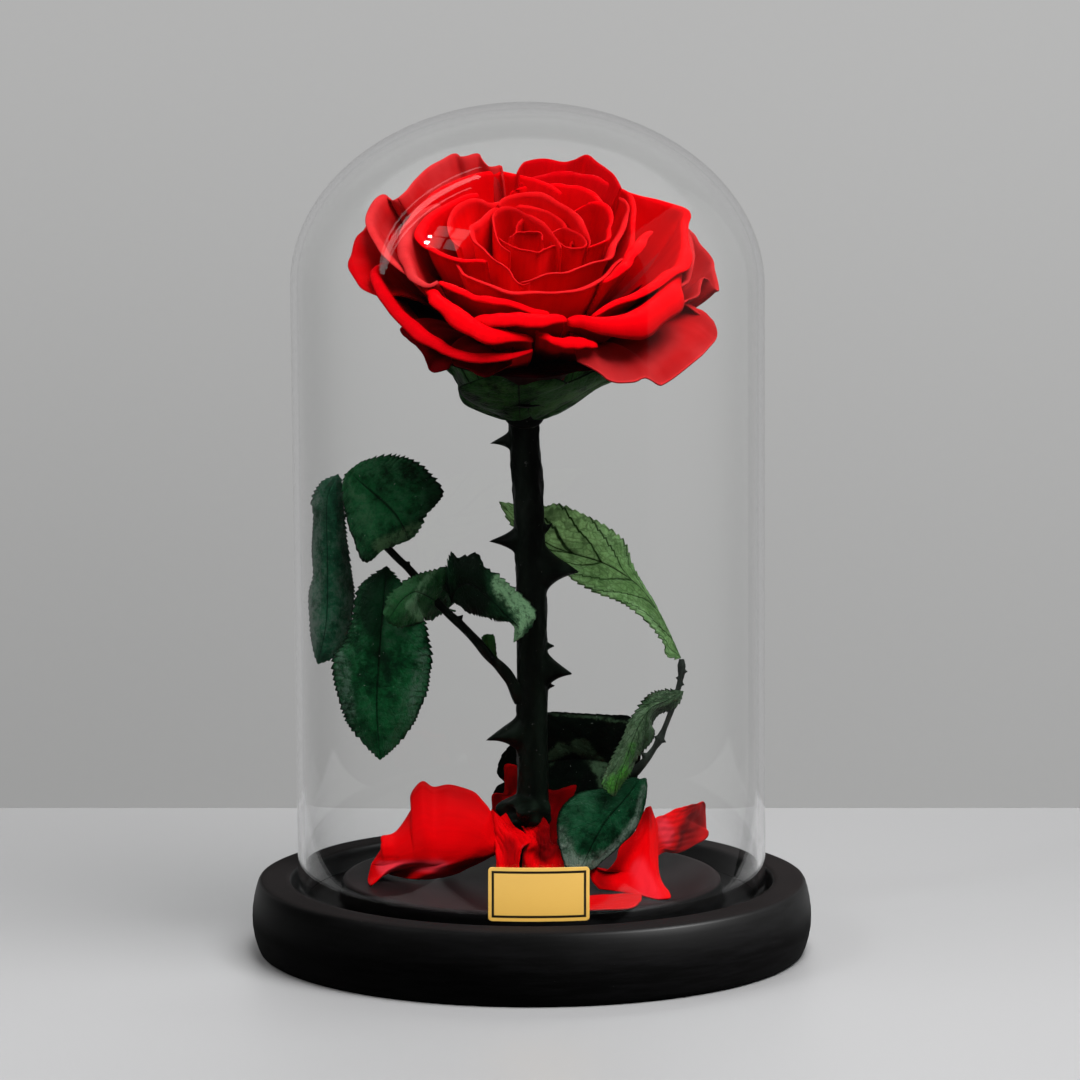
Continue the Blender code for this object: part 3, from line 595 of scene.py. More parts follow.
# A petal rises from a narrow root by the flower's axis to its rim, along a cubic curve in the plane of
# radius and height, and past the rim it rolls outwards along an arc. The rim is a smooth curve through
# points: turn is their direction in degrees, which runs on past 360, and radius and height are from the
# axis and from the hip's foot. lip is the rolled part's length, or lengths along the rim, and curl its
# turn in degrees; swell pushes the belly out; neck, for a petal that hangs, is where the curve's last
# guide point lies from the rim, and low drops its root; seed sets the waviness.
def petal(name, nodes, finish, seed, turn, radius, height, lip=2.0, curl=70, swell=0.0, wavy=0.35, neck=None,
          low=0.0):
    def guide(key):  # a value at the petal's own layer
        return flower[key][0] + flower[key][1] * layer

    turn, radius, height = (np.array(row, float) for row in np.broadcast_arrays(turn, radius, height))
    turn = np.radians(turn)
    crest = evenPath(np.stack([radius * np.cos(turn), radius * np.sin(turn), height], 1), 200)
    length = np.linalg.norm(np.diff(crest, axis=0), axis=1).sum()
    cols = int(np.clip(length / flower["colStep"], flower["colsLeast"], flower["colsMost"]))
    x, y, top = evenPath(crest[::4], cols).T
    u = np.linspace(0, 1, cols)
    top = top + flower["rimUneven"] * waves(u, 0, seed + 50, 6, 6, 0)
    rimR, rimTurn = np.hypot(x, y), np.unwrap(np.arctan2(y, x))
    layer = rimR.mean() / flower["fullRadius"]
    neckR, neckH = rimR + guide("neckOut") + swell, top + guide("neckUp")
    if neck:
        neckR, neckH = rimR + neck[0], top + neck[1]
    v = np.linspace(0, 1, flower["rows"])[:, None]
    w0, w1, w2, w3 = (1 - v) ** 3, 3 * v * (1 - v) ** 2, 3 * v**2 * (1 - v), v**3
    r = w0 * guide("rootOut") + w1 * guide("bellyOut") + w2 * neckR + w3 * rimR
    h = w0 * guide("rootUp") + w1 * (guide("bellyUp") - low) + w2 * neckH + w3 * top
    t = rimTurn + (rimTurn.mean() - rimTurn) * flower["narrow"] * (1 - v) ** 2
    # the rolled lip: starts in the direction of the curve's end and turns outwards and down
    startR, startH = rimR - neckR, top - neckH
    size = np.hypot(startR, startH)
    startR, startH = startR / size, startH / size
    q = np.linspace(0, 1, flower["lipRows"] + 1)[1:, None]
    ends = np.clip(np.sin(math.pi * u), 0, 1) ** 0.5
    reach = np.interp(u, np.linspace(0, 1, np.size(lip)), np.atleast_1d(lip))
    reach = reach * (flower["lipAtEnds"] + (1 - flower["lipAtEnds"]) * ends)
    reach = reach * (1 + flower["lipUneven"] * waves(u, 0, seed, 5, 4, 0))
    bend = np.radians(curl) * q
    step = reach / flower["lipRows"]
    lipR = rimR + np.cumsum(startR * np.cos(bend) + startH * np.sin(bend), 0) * step
    lipH = top + np.cumsum(startH * np.cos(bend) - startR * np.sin(bend), 0) * step
    r, h = np.concatenate([r, lipR]), np.concatenate([h, lipH])
    t = np.concatenate([t, np.broadcast_to(rimTurn, lipR.shape)])
    grid = fromFlower(r * np.cos(t), r * np.sin(t), h)
    along = np.concatenate([v, 1 + q * reach.mean() / flower["petalLength"]])
    ripple = waves(u, along, seed + 7, 9, 3.2, 1.2) + waves(u, along, seed + 9, 8, 11.0, 1.5) * 0.1
    grid = grid + gridNormals(grid) * (ripple * wavy * np.clip(along, 0, 1) ** 2)[..., None]
    uv = np.stack(np.broadcast_arrays(u, along + 0 * r), -1)
    piece = gridMesh(name, grid, finish, uv=uv)
    thicken(piece, flower["petalThick"])
    finishPiece(piece, "petal_red", *nodes)


# from the bud outwards; 33 to 35 fill out the low and left side, 34 and 35 in painted shade; 36 and 37 are
# near-black sheets of painted shade in the dark under the outer rows
petals = {
    1: dict(lip=1.2, curl=60, swell=2, height=69,
            turn=(328, 376, 413, 440, 455, 468, 492, 548),
            radius=(7.5, 6, 8.5, 12.5, 15, 13, 8, 5.5)),
    2: dict(lip=1.2, curl=60, swell=1.5,
            turn=(314, 325, 360, 420, 458, 473, 487, 503, 527, 558, 585, 606),
            radius=(14, 10.5, 6, 6.5, 11.5, 17.5, 19, 17, 13.5, 12.5, 14.5, 16.5),
            height=(71, 71, 71, 71, 71, 71, 71, 71, 71, 71, 71, 70.5)),
    3: dict(lip=1.2, curl=60, swell=2, height=69.5,
            turn=(192, 216, 232, 250, 276, 292, 316, 325, 325),
            radius=(11.5, 11, 11, 11, 13, 11, 9, 11.5, 13.5)),
    4: dict(lip=1.0, curl=50,
            turn=(350, 328, 320, 321, 328, 341, 356, 367, 377, 387, 388, 377),
            radius=(6.5, 10, 13.5, 16.5, 18, 18.5, 16.5, 15, 13, 11.5, 8.5, 6),
            height=(70.5, 70.5, 70.5, 70, 70, 70, 70.5, 70.5, 70.5, 70.5, 70.5, 70.5)),
    5: dict(lip=1.0, swell=2, height=72,
            turn=(216, 213, 216, 277, 305, 299),
            radius=(9.5, 7, 5, 2.5, 4.5, 7.5)),
    6: dict(lip=1.0, curl=60, height=67.5,
            turn=(5, 40, 62, 78, 91, 104, 114, 127),
            radius=(13, 15, 19, 23, 25.5, 27, 26, 22)),
    7: dict(lip=1.6, curl=80,
            turn=(106, 124, 128, 137, 151, 168, 189, 205),
            radius=(27.5, 24.5, 29.5, 31, 30, 28, 26.5, 25.5),
            height=(70, 70, 70, 70, 69.5, 69.5, 69.5, 69.5)),
    8: dict(lip=(1.8, 2.4, 3.0, 2.2, 2.8, 2.0, 1.8), curl=80, swell=2,
            turn=(264, 271, 282, 294, 304, 318, 326, 332, 345, 357, 378, 391, 401, 408, 412),
            radius=(31, 29.5, 26.5, 26.5, 25.5, 25.5, 27, 28, 26.5, 26.5, 30.5, 35.5, 41.5, 45, 44),
            height=(68.5, 68.5, 69, 69, 69.5, 69.5, 69, 69, 69.5, 69.5, 69.5, 69, 68.5, 68, 68.5)),
    9: dict(lip=1.8, curl=80, swell=2,
            turn=(124, 133, 148, 166, 178, 190, 205, 221, 235, 246, 254, 259, 265, 271),
            radius=(22, 20.5, 18.5, 18.5, 20, 20, 20, 20, 21.5, 23.5, 26.5, 29.5, 32, 30),
            height=(70.5, 70.5, 70.5, 70.5, 70.5, 70.5, 70, 70, 70, 69.5, 69.5, 68.5, 68, 68.5)),
    10: dict(lip=1.6, swell=1,
             turn=(340, 352, 371, 395, 414, 430, 440, 447, 458, 472, 485),
             radius=(19.5, 18.5, 17, 18, 20, 23, 26, 28.5, 28, 26, 22),
             height=(70.5, 70.5, 71, 71, 71, 71, 71, 71, 71, 71, 71)),
    11: dict(lip=(2.4, 3.2, 3.6, 2.6, 3.4, 2.6, 2.0), curl=90, swell=2,
             turn=(218, 224, 231, 237, 250, 262, 273, 285, 293, 302, 311, 319, 330, 341),
             radius=(31, 32, 33.5, 33.5, 35, 36, 35, 35, 35, 34, 33, 32, 31, 31.5),
             height=(69, 68.5, 68, 68, 67.5, 66.5, 67, 67, 67, 67, 67.5, 68, 68.5, 68.5)),
    12: dict(lip=3.5, curl=110, swell=2,
             turn=(126, 137, 156, 171, 186, 197, 202, 214, 223, 230, 237),
             radius=(32.5, 32.5, 33, 34.5, 36, 35, 33.5, 31.5, 29, 26, 25),
             height=(71, 71, 70.5, 70, 69.5, 69.5, 69.5, 69.5, 69.5, 70, 70)),
    13: dict(lip=1.5,
             turn=(50, 61, 69, 78, 87, 96, 105),
             radius=(35.5, 39.5, 40.5, 40, 38.5, 36.5, 33.5),
             height=(69, 69, 69.5, 69.5, 70, 70, 70)),
    14: dict(lip=1.8, curl=80, swell=2,
             turn=(336, 348, 358, 375, 385, 396, 404, 409, 413, 415, 416),
             radius=(20, 22, 24.5, 25.5, 28, 31, 33, 33, 30.5, 25.5, 21),
             height=(70.5, 70, 70, 70, 70, 70, 70, 70, 70.5, 70.5, 70.5)),
    15: dict(lip=4.4, curl=110, swell=2,
             turn=(225, 231, 238, 246, 253, 260, 267, 273, 279),
             radius=(41, 40, 39.5, 39.5, 39.5, 39.5, 40, 41, 42),
             height=(66, 66, 66, 65.5, 65.5, 65.5, 65, 64, 63.5)),
    16: dict(lip=4.5, curl=110, swell=2,
             turn=(311, 321, 332, 345, 359, 369, 375),
             radius=(34.5, 33.5, 32.5, 32, 34, 36.5, 40),
             height=(67.5, 68, 68.5, 69, 69, 68.5, 68)),
    17: dict(lip=1.8, swell=1,
             turn=(337, 352, 367, 384, 398, 408, 415, 422),
             radius=(32, 32, 32.5, 35.5, 42, 48, 51, 50.5),
             height=(68.5, 69, 69.5, 69, 68.5, 68, 68, 68.5)),
    18: dict(finish=sidePetal,
             turn=(58, 66, 73, 81, 90, 100),
             radius=(49.5, 51, 50, 46, 41, 37),
             height=(68.5, 69, 69.5, 70.5, 71, 71)),
    19: dict(finish=outerPetal, lip=4.0, curl=120, swell=1,
             turn=(151, 164, 178, 190, 199, 208, 215, 223, 225),
             radius=(36, 38, 40, 41, 42.5, 43.5, 45, 44.5, 41),
             height=(71, 70.5, 69.5, 69, 68, 67, 66, 65.5, 67)),
    20: dict(lip=(6, 9, 10, 9, 8), curl=120, swell=3, wavy=0.2,
             turn=(248, 250, 255, 264, 273, 283, 286),
             radius=(46.5, 45.5, 44.5, 43, 42.5, 42, 43),
             height=(61, 61.5, 62, 62.5, 62.5, 62.5, 62)),
    21: dict(lip=(8, 13, 15, 14.5, 12, 9, 5), curl=150, swell=4, wavy=0.2,
             turn=(286, 291, 297, 304, 310, 318, 325, 333, 342, 351, 359),
             radius=(43.5, 43, 44.5, 45.5, 46, 46, 46, 46, 46, 46.5, 48),
             height=(61.5, 62, 61, 60.5, 60, 60.5, 61, 61.5, 62, 62, 62)),
    22: dict(lip=(7, 10, 11, 10, 6), curl=120, swell=3,
             turn=(222, 226, 230, 236, 244, 251, 257, 262, 267, 270, 272),
             radius=(44, 43, 44, 44.5, 46, 47.5, 48.5, 48, 47.5, 47, 46.5),
             height=(64, 64, 63.5, 62.5, 61.5, 60, 59, 58.8, 58.4, 57.6, 56)),
    23: dict(lip=(6, 6, 5, 3, 2.5, 2.5), curl=90, swell=2,
             turn=(297, 303, 311, 319, 326, 335, 345, 353, 364, 377, 390, 395, 399, 404, 410, 416),
             radius=(44, 42.5, 41.5, 42, 42.5, 43.5, 44.5, 47, 49, 52, 58, 62, 58, 55.5, 54.5, 52),
             height=(62.5, 63.5, 64, 64, 64, 64, 64, 63, 63, 62.5, 61.5, 63, 65, 66, 66, 67.5)),
    24: dict(turn=(72, 83, 91, 100, 109, 123, 139, 157, 174),
             radius=(29, 34, 37.5, 40.5, 43, 42.5, 40.5, 40, 41.5),
             height=(72, 72, 72, 72, 72, 72, 71.5, 71, 70)),
    25: dict(finish=sidePetal, lip=(4, 5, 6, 6, 6, 7, 5), curl=110, swell=3,
             turn=(192, 193, 196, 205, 213, 220, 228, 233, 239, 243, 249, 254, 258, 263, 268, 273),
             radius=(48, 50.5, 52, 52, 52, 52.5, 53, 53.5, 53.5, 54, 54, 54, 53, 52, 51, 50),
             height=(62.5, 62, 60.5, 59.5, 58.5, 57, 55.5, 54.5, 54, 53, 52.5, 52.5, 52.5, 53, 54, 55)),
    26: dict(lip=(3, 5, 6, 7, 6), curl=120, swell=2,
             turn=(273, 276, 282, 289, 295, 296),
             radius=(45, 46.5, 47.5, 48, 49, 50),
             height=(58.5, 58, 57, 56.5, 55.5, 55)),
    27: dict(finish=outerPetal, curl=80,
             turn=(342, 353, 367, 380, 391, 399),
             radius=(49, 51, 52.5, 55.5, 59, 62.5),
             height=(60, 59.5, 60, 60, 60, 60)),
    28: dict(finish=sidePetal, lip=1.5, curl=40,
             turn=(50, 59, 64, 69, 74, 77, 80, 86, 93, 96, 100),
             radius=(45.5, 51.5, 55, 58.5, 62, 54, 50, 50, 48, 45.5, 38.5),
             height=(71.5, 71.5, 71.5, 71, 71.5, 72.5, 73, 73.5, 73.5, 74, 74)),
    29: dict(finish=outerPetal, lip=1.5, curl=40,
             turn=(106, 105, 110, 111, 117, 118, 121, 133, 141, 152, 160),
             radius=(40, 44.5, 44.5, 53.5, 53, 56, 56.5, 52.5, 50.5, 48, 49),
             height=(74, 74, 74, 74, 74, 74, 74, 73.5, 73, 72.5, 72)),
    30: dict(finish=outerPetal, lip=1.5, curl=-40, neck=(-14, 16),
             turn=(288, 291, 295, 297, 300, 304, 307, 310, 313, 315, 324, 332, 340, 347, 350, 352, 350, 348,
                   346),
             radius=(51.5, 52.5, 54.5, 56, 57, 57.5, 58, 58, 59.5, 60.5, 60.5, 61, 61.5, 62.5, 62, 59.5,
                     56.5, 52.5, 51.5),
             height=(51, 50, 48, 46, 44.5, 44, 44, 44.5, 42.5, 41, 41.5, 42.5, 43, 43, 45, 47.5, 50, 53.5,
                     54.5)),
    31: dict(finish=outerPetal, lip=1.5, curl=40, swell=2,
             turn=(345, 353, 359, 364, 365, 363, 366, 375, 380, 383, 387, 392, 398, 399),
             radius=(51.5, 55, 55.5, 56.5, 58.5, 61, 62, 63, 64.5, 64, 63, 64.5, 67, 65),
             height=(56, 54.5, 54.5, 54.5, 53.5, 50.5, 50, 51, 51.5, 53, 54.5, 55, 54.5, 56)),
    32: dict(finish=outerPetal, lip=3.0, curl=80, swell=2,
             turn=(148, 154, 151, 158, 167, 178, 189, 196, 204, 210, 216),
             radius=(49.5, 51.5, 56, 55.5, 54.5, 51, 48.5, 47.5, 46.5, 45.5, 45),
             height=(69.5, 69, 68.5, 68, 67, 66.5, 66, 66, 66, 65.5, 65.5)),
    33: dict(finish=sidePetal, lip=1.5, curl=40, neck=(-12, 2),
             turn=(156, 160, 165, 168, 176, 184, 197, 207),
             radius=(58, 58, 57.5, 58.5, 58.5, 58.5, 56.5, 53),
             height=(63, 62.5, 62, 61, 60, 58, 57, 57.5)),
    34: dict(finish=shadedPetal, lip=1.5, curl=-30, neck=(-12, 8),
             turn=(241, 246, 251, 257, 261, 265),
             radius=(52.5, 54.5, 54.5, 54.5, 53, 51.5),
             height=(51, 48.5, 48, 47, 48.5, 50)),
    35: dict(finish=shadedPetal, lip=1.5, curl=-30, neck=(-12, 8),
             turn=(220, 226, 231, 236, 238, 241, 244),
             radius=(54, 54.5, 54.5, 56.5, 57.5, 57.5, 56),
             height=(52, 51, 50, 47.5, 46, 46, 47)),
    36: dict(finish=deepShadePetal, lip=1.0, curl=-30, neck=(-12, 2), low=11,
             turn=(188, 205, 235, 255, 275, 300),
             radius=(42, 46, 48, 48, 47, 47),
             height=(50, 48, 44, 43, 43, 45)),
    37: dict(finish=deepShadePetal, lip=1.0, curl=-30, neck=(-12, 2), low=11,
             turn=(275, 295, 315, 335, 355, 378),
             radius=(46, 47, 48, 48, 48, 46),
             height=(44, 44, 44, 46, 49, 50)),
}
for seed, (number, spec) in zip(itertools.count(100, 13), petals.items()):
    nodes = (f"petal_{number:02d}",) if number <= flower["withNodes"] else ()
    finish = spec.pop("finish", innerPetal if number <= flower["innerLast"] else redPetal)
    petal(f"rosePetal{number:02d}", nodes, finish, seed, **spec)
print("petals made")


# Stem, stalks and hip

stem = dict(
    path=((0.4, 3.0, 25.2), (0.4, 3.0, 50.0), (0.1, 5.0, 84.0), (-0.3, 8.0, 131.5), (-1.6, 10.8, 159.0),
          (-2.6, 12.0, 172.0), (-2.7, 12.1, 177.9)),
    radius=5.3, footRadius=7.4, footHeight=9.0, flute=0.7, fluteHeight=5.0, lumps=0.2, grain=0.08,
    rows=360, around=112,
    # height up the stem, direction round it, reach, height of the root, droop of the tip
    thorns=((172.0, 180, 6.6, 5.5, -1.0), (138.5, 182, 9.0, 7.5, -0.4), (73.0, 184, 11.0, 10.5, -2.6),
            (129.0, 2, 11.2, 14.0, -1.6), (142.5, 350, 3.2, 4.0, 2.5), (94.5, 355, 8.8, 10.5, -1.4),
            (102.5, 5, 3.0, 2.6, 0.0), (89.0, 2, 2.8, 2.6, 0.0), (115.0, 100, 8.0, 7.0, -1.0),
            (66.0, 80, 7.0, 7.0, -1.0), (160.0, 75, 6.0, 6.0, -1.0)),
    thornUp=0.62, thornAside=0.55, hollow=1.75,  # half its height and half its width, as shares of the root
    knob=(46.6, 4.4, 6.2, 212.0))


# The stem is a height field round its middle line: a thick round shoot with a knobbly skin and a fluted
# foot, on which each thorn is a flat cone with hollow flanks whose tip hangs. knob is a lump low on it:
# height, size, reach and direction.
def stemGrid(s):
    line = evenPath(s["path"], s["rows"])
    x, y, z = (line[:, axis][:, None] for axis in range(3))
    angle = roundAngles(s["around"])
    above = z - s["path"][0][2]
    radius = s["radius"] + (s["footRadius"] - s["radius"]) * np.exp(-above / s["footHeight"])
    skin = ringWaves(angle, z, 3, 14, 7, 0.5) * s["lumps"] + ringWaves(angle, z, 4, 14, 16, 1.6) * s["grain"]
    flutes = s["flute"] * np.exp(-above / s["fluteHeight"]) * np.sin(4 * angle + 0.6) * np.cos(0.5 * z)
    reach = np.zeros((s["rows"], s["around"]))
    hang = np.zeros_like(reach)
    for height, turn, long, root, droop in s["thorns"]:
        beside = angleFrom(angle, turn) * s["radius"] / (root * s["thornAside"])
        share = np.clip(1 - np.hypot((z - height) / (root * s["thornUp"]), beside), 0, 1) ** s["hollow"]
        reach = np.maximum(reach, long * share)
        hang = hang + droop * share**2
    at, size, more, toward = s["knob"]
    facing = np.clip(0.5 + 0.6 * np.cos(angle - math.radians(toward)), 0, 1)
    knob = np.exp(-(((z - at) / size) ** 4)) * more * facing
    knob = knob * (0.85 + 0.3 * ringWaves(angle, z, 6, 8, 7, 0.9))
    out = radius + skin + flutes + knob + reach
    return capped(line, np.stack([x + out * np.cos(angle), y + out * np.sin(angle), z + hang], -1))


finishPiece(gridMesh("thornyStem", stemGrid(stem), stemBark, wrap=True, merge=True), "stem_bark", "stem")

stalks = dict(
    leaf_stalk_left=dict(
        name="leftStalk", bark=stemBark,
        radii=((0, 2.4), (0.12, 1.9), (0.3, 1.5), (0.6, 1.3), (0.85, 1.2), (1, 0.9)),
        spikes=((0.36, 180, 1.8, 1.2), (0.5, 0, 0.8, 1.0), (0.62, 180, 0.9, 1.0)),
        points=((-3.7, 4, 84.3), (-5.4, 3, 87.9), (-7.7, 2.4, 92.4), (-10.8, 1.6, 96.3), (-14.5, 0.8, 100),
                (-18.2, 0, 104.6), (-23.6, -0.6, 110.3), (-29.7, -1, 116), (-35, -1.4, 122),
                (-41.1, -1.8, 129.5), (-46.4, -2, 134.8), (-54.5, -2.2, 144.1), (-60.5, -2.4, 158.4),
                (-62.3, -2.4, 162.4))),
    leaf_stalk_right=dict(
        name="rightStalk", bark=stalkBark,
        radii=((0, 2.0), (0.2, 1.7), (0.45, 1.5), (0.5, 1.8), (0.55, 1.3), (0.62, 1.0), (0.66, 1.5),
               (0.7, 0.95), (0.92, 0.9), (0.95, 1.4), (0.975, 1.5), (0.99, 1.1), (1, 0.9)),
        spikes=((0.57, 0, 2.2, 1.4), (0.66, 180, 1.2, 0.9), (0.66, 0, 0.9, 0.9), (0.92, 0, 1.0, 0.8),
                (0.95, 180, 0.9, 0.8), (0.9, 180, 0.9, 0.8)),
        points=((7.9, 9.6, 28.6), (11.7, 10.5, 36.1), (21.9, 9, 46.8), (33.2, 8, 57.4), (37.9, 8, 61.9),
                (42, 8.4, 67.4), (44.1, 8.6, 71.1), (47.1, 9.2, 78.3), (49.5, 9.8, 85.4), (51, 10.2, 91.2),
                (51.2, 10.4, 94.3), (51.2, 10.6, 97.4))))


# Rings at right angles to a smooth path, closed at both ends. Radii are given at shares of the way
# along, and a spike is a small thorn: share of the way, direction round the path, reach and root.
def stalkGrid(points, radii, spikes, rows=300, around=28, skin=0.05):
    path = evenPath(points, rows)
    tangent = unit(np.gradient(path, axis=0))
    first = unit(np.cross(tangent, (0.0, 1.0, 0.0)))
    second = np.cross(tangent, first)
    angle = roundAngles(around)
    s = np.linspace(0, 1, rows)
    size = np.interp(s, *np.array(radii).T)[:, None]
    s = s[:, None]
    size = size * (1 + skin * waves(0 * angle, s, 5, 10, 0, 12) + skin * np.sin(3 * angle + 9 * s))
    length = np.linalg.norm(np.diff(path, axis=0), axis=1).sum()
    for at, turn, reach, root in spikes:
        away = np.hypot((s - at) * length / root, angleFrom(angle, turn) / 1.1)
        size = size + reach * np.clip(1 - away, 0, 1) ** 1.5
    outwards = first[:, None] * np.cos(angle)[..., None] + second[:, None] * np.sin(angle)[..., None]
    return capped(path, path[:, None] + size[..., None] * outwards)


for node, s in stalks.items():
    grid = stalkGrid(s["points"], s["radii"], s["spikes"])
    finishPiece(gridMesh(s["name"], grid, s["bark"], wrap=True, merge=True), "stem_bark", node)

hip = dict(rings=((0.0, 5.4), (1.0, 6.5), (2.2, 6.9), (4.5, 6.7), (8.0, 7.6), (10.8, 9.8), (12.1, 11.2),
                  (12.7, 10.0), (14.1, 5.0), (14.9, 0.8)), bendTo=8.0, rows=60, around=64)


# rings of (height, radius) on a line that turns from upright to the flower's axis by the height bendTo
def hipGrid(h):
    up, radius = evenPath(h["rings"], h["rows"]).T
    bend = np.clip(up / h["bendTo"], 0, 1)[:, None]
    ahead = unit((1 - bend) * np.array((0, 0, 1.0)) + bend * flowerAxis)
    path = np.array(flower["hipFoot"]) + up[:, None] * ahead
    angle = roundAngles(h["around"])[..., None]
    outwards = np.cos(angle) * flowerRight + np.sin(angle) * flowerBack
    return capped(path, path[:, None] + radius[:, None, None] * outwards)


finishPiece(gridMesh("roseHip", hipGrid(hip), stemBark, wrap=True, merge=True), "leaf_green", "rose_hip")
print("stem, stalks and hip made")


# Sepals, leaves and fallen petals

sheet = dict(sideCols=16, bendSoft=0.7, ribs=9, ribSlant=1.7, teethWander=0.6, shortestTooth=2.5)


# A blade is spanned over a middle vein between two edges, smooth curves through given points, all from
# foot to tip; the edges run between the vein's ends, unless they are given whole. Across, each half is
# a parabola that bows towards the front by a share of its width. A bend is a straight crease in the
# front view, (x, z, x, z, slope): what lies to its left leans back by slope times the distance. A patch
# is a band round a straight line, (x, z, x, z, half width, strength), where the skin is paler, or
# darker for a negative strength: paler is the under side's colour on a turned leaf and a painted
# highlight on the dark leaf and the loose petals, darker is painted shade. Saw teeth are cut into the
# edges, and the skin is quilted between slanting side veins and crumpled by sine waves.
def blade(name, nodes, finish, slot, seed, vein, left, right, whole=False, bow=(0.1, 0.1), bends=(),
          patches=(), teeth=0, toothSize=1.3, quilt=0.3, crumple=0.35, thick=0.4, rows=220):
    s = np.linspace(0, 1, rows)
    path = evenPath(vein, rows)
    halves = []
    for k, edge in enumerate((left, right)):
        reach = evenPath(edge if whole else (vein[0], *edge, vein[-1]), rows) - path
        width = np.linalg.norm(reach, axis=1)[:, None]
        if teeth:
            saw = (teeth * s + sheet["teethWander"] * waves(0 * s, s, seed + k, 7, 0, 6)) % 1.0
            size = toothSize * (0.75 + 0.3 * waves(0 * s, s, seed + 5 + k, 7, 0, 9))
            reach = reach * (1 + (size * (saw - 0.5))[:, None] / np.maximum(width, sheet["shortestTooth"]))
        q = np.linspace(0, 1, sheet["sideCols"] + 1)[1:]
        half = path[:, None] + reach[:, None] * q[:, None]
        half[..., 1] -= bow[k] * width * 4 * q * (1 - q)
        halves.append(half)
    grid = np.concatenate([halves[0][:, ::-1], path[:, None], halves[1]], 1)
    u, v = np.linspace(-1, 1, 2 * sheet["sideCols"] + 1)[None, :], s[:, None]
    for x0, z0, x1, z1, slope in bends:
        dx, dz = x1 - x0, z1 - z0
        beside = ((grid[..., 2] - z0) * dx - (grid[..., 0] - x0) * dz) / math.hypot(dx, dz)
        grid[..., 1] += slope * sheet["bendSoft"] * np.log1p(np.exp(beside / sheet["bendSoft"]))
    # paler skin, a painted highlight on some pieces, and painted shade where negative
    pale = np.zeros(grid.shape[:2])
    for x0, z0, x1, z1, halfWidth, strength in patches:
        line, place = np.array((x1 - x0, z1 - z0)), grid[..., [0, 2]] - np.array((x0, z0))
        along = np.clip(place @ line / (line @ line), 0, 1)
        away = np.linalg.norm(place - along[..., None] * line, axis=-1)
        pale += strength * np.clip(1.5 - away / halfWidth, 0, 1)
    side = np.abs(u)
    ribbed = np.abs(np.sin(math.pi * (sheet["ribs"] * v - sheet["ribSlant"] * side)))
    puff = ribbed**0.7 * side**0.5 * (1 - side**6)
    rough = waves(u, v, seed + 20, 10, 1.3, 1.8) * (0.25 + 0.75 * side)
    rough = rough + 0.3 * waves(u, v, seed + 21, 10, 4, 6)
    keep = np.clip(np.minimum(v, 1 - v) * 8, 0, 1)
    grid = grid + gridNormals(grid) * ((quilt * puff + crumple * rough) * keep)[..., None]
    uv = np.stack([(u + 1) / 2 + 0 * v, v + 0 * u], -1)
    piece = gridMesh(name, grid, finish, uv=uv, merge=True, pale=pale)
    thicken(piece, thick, 0.0)
    finishPiece(piece, slot, *nodes)


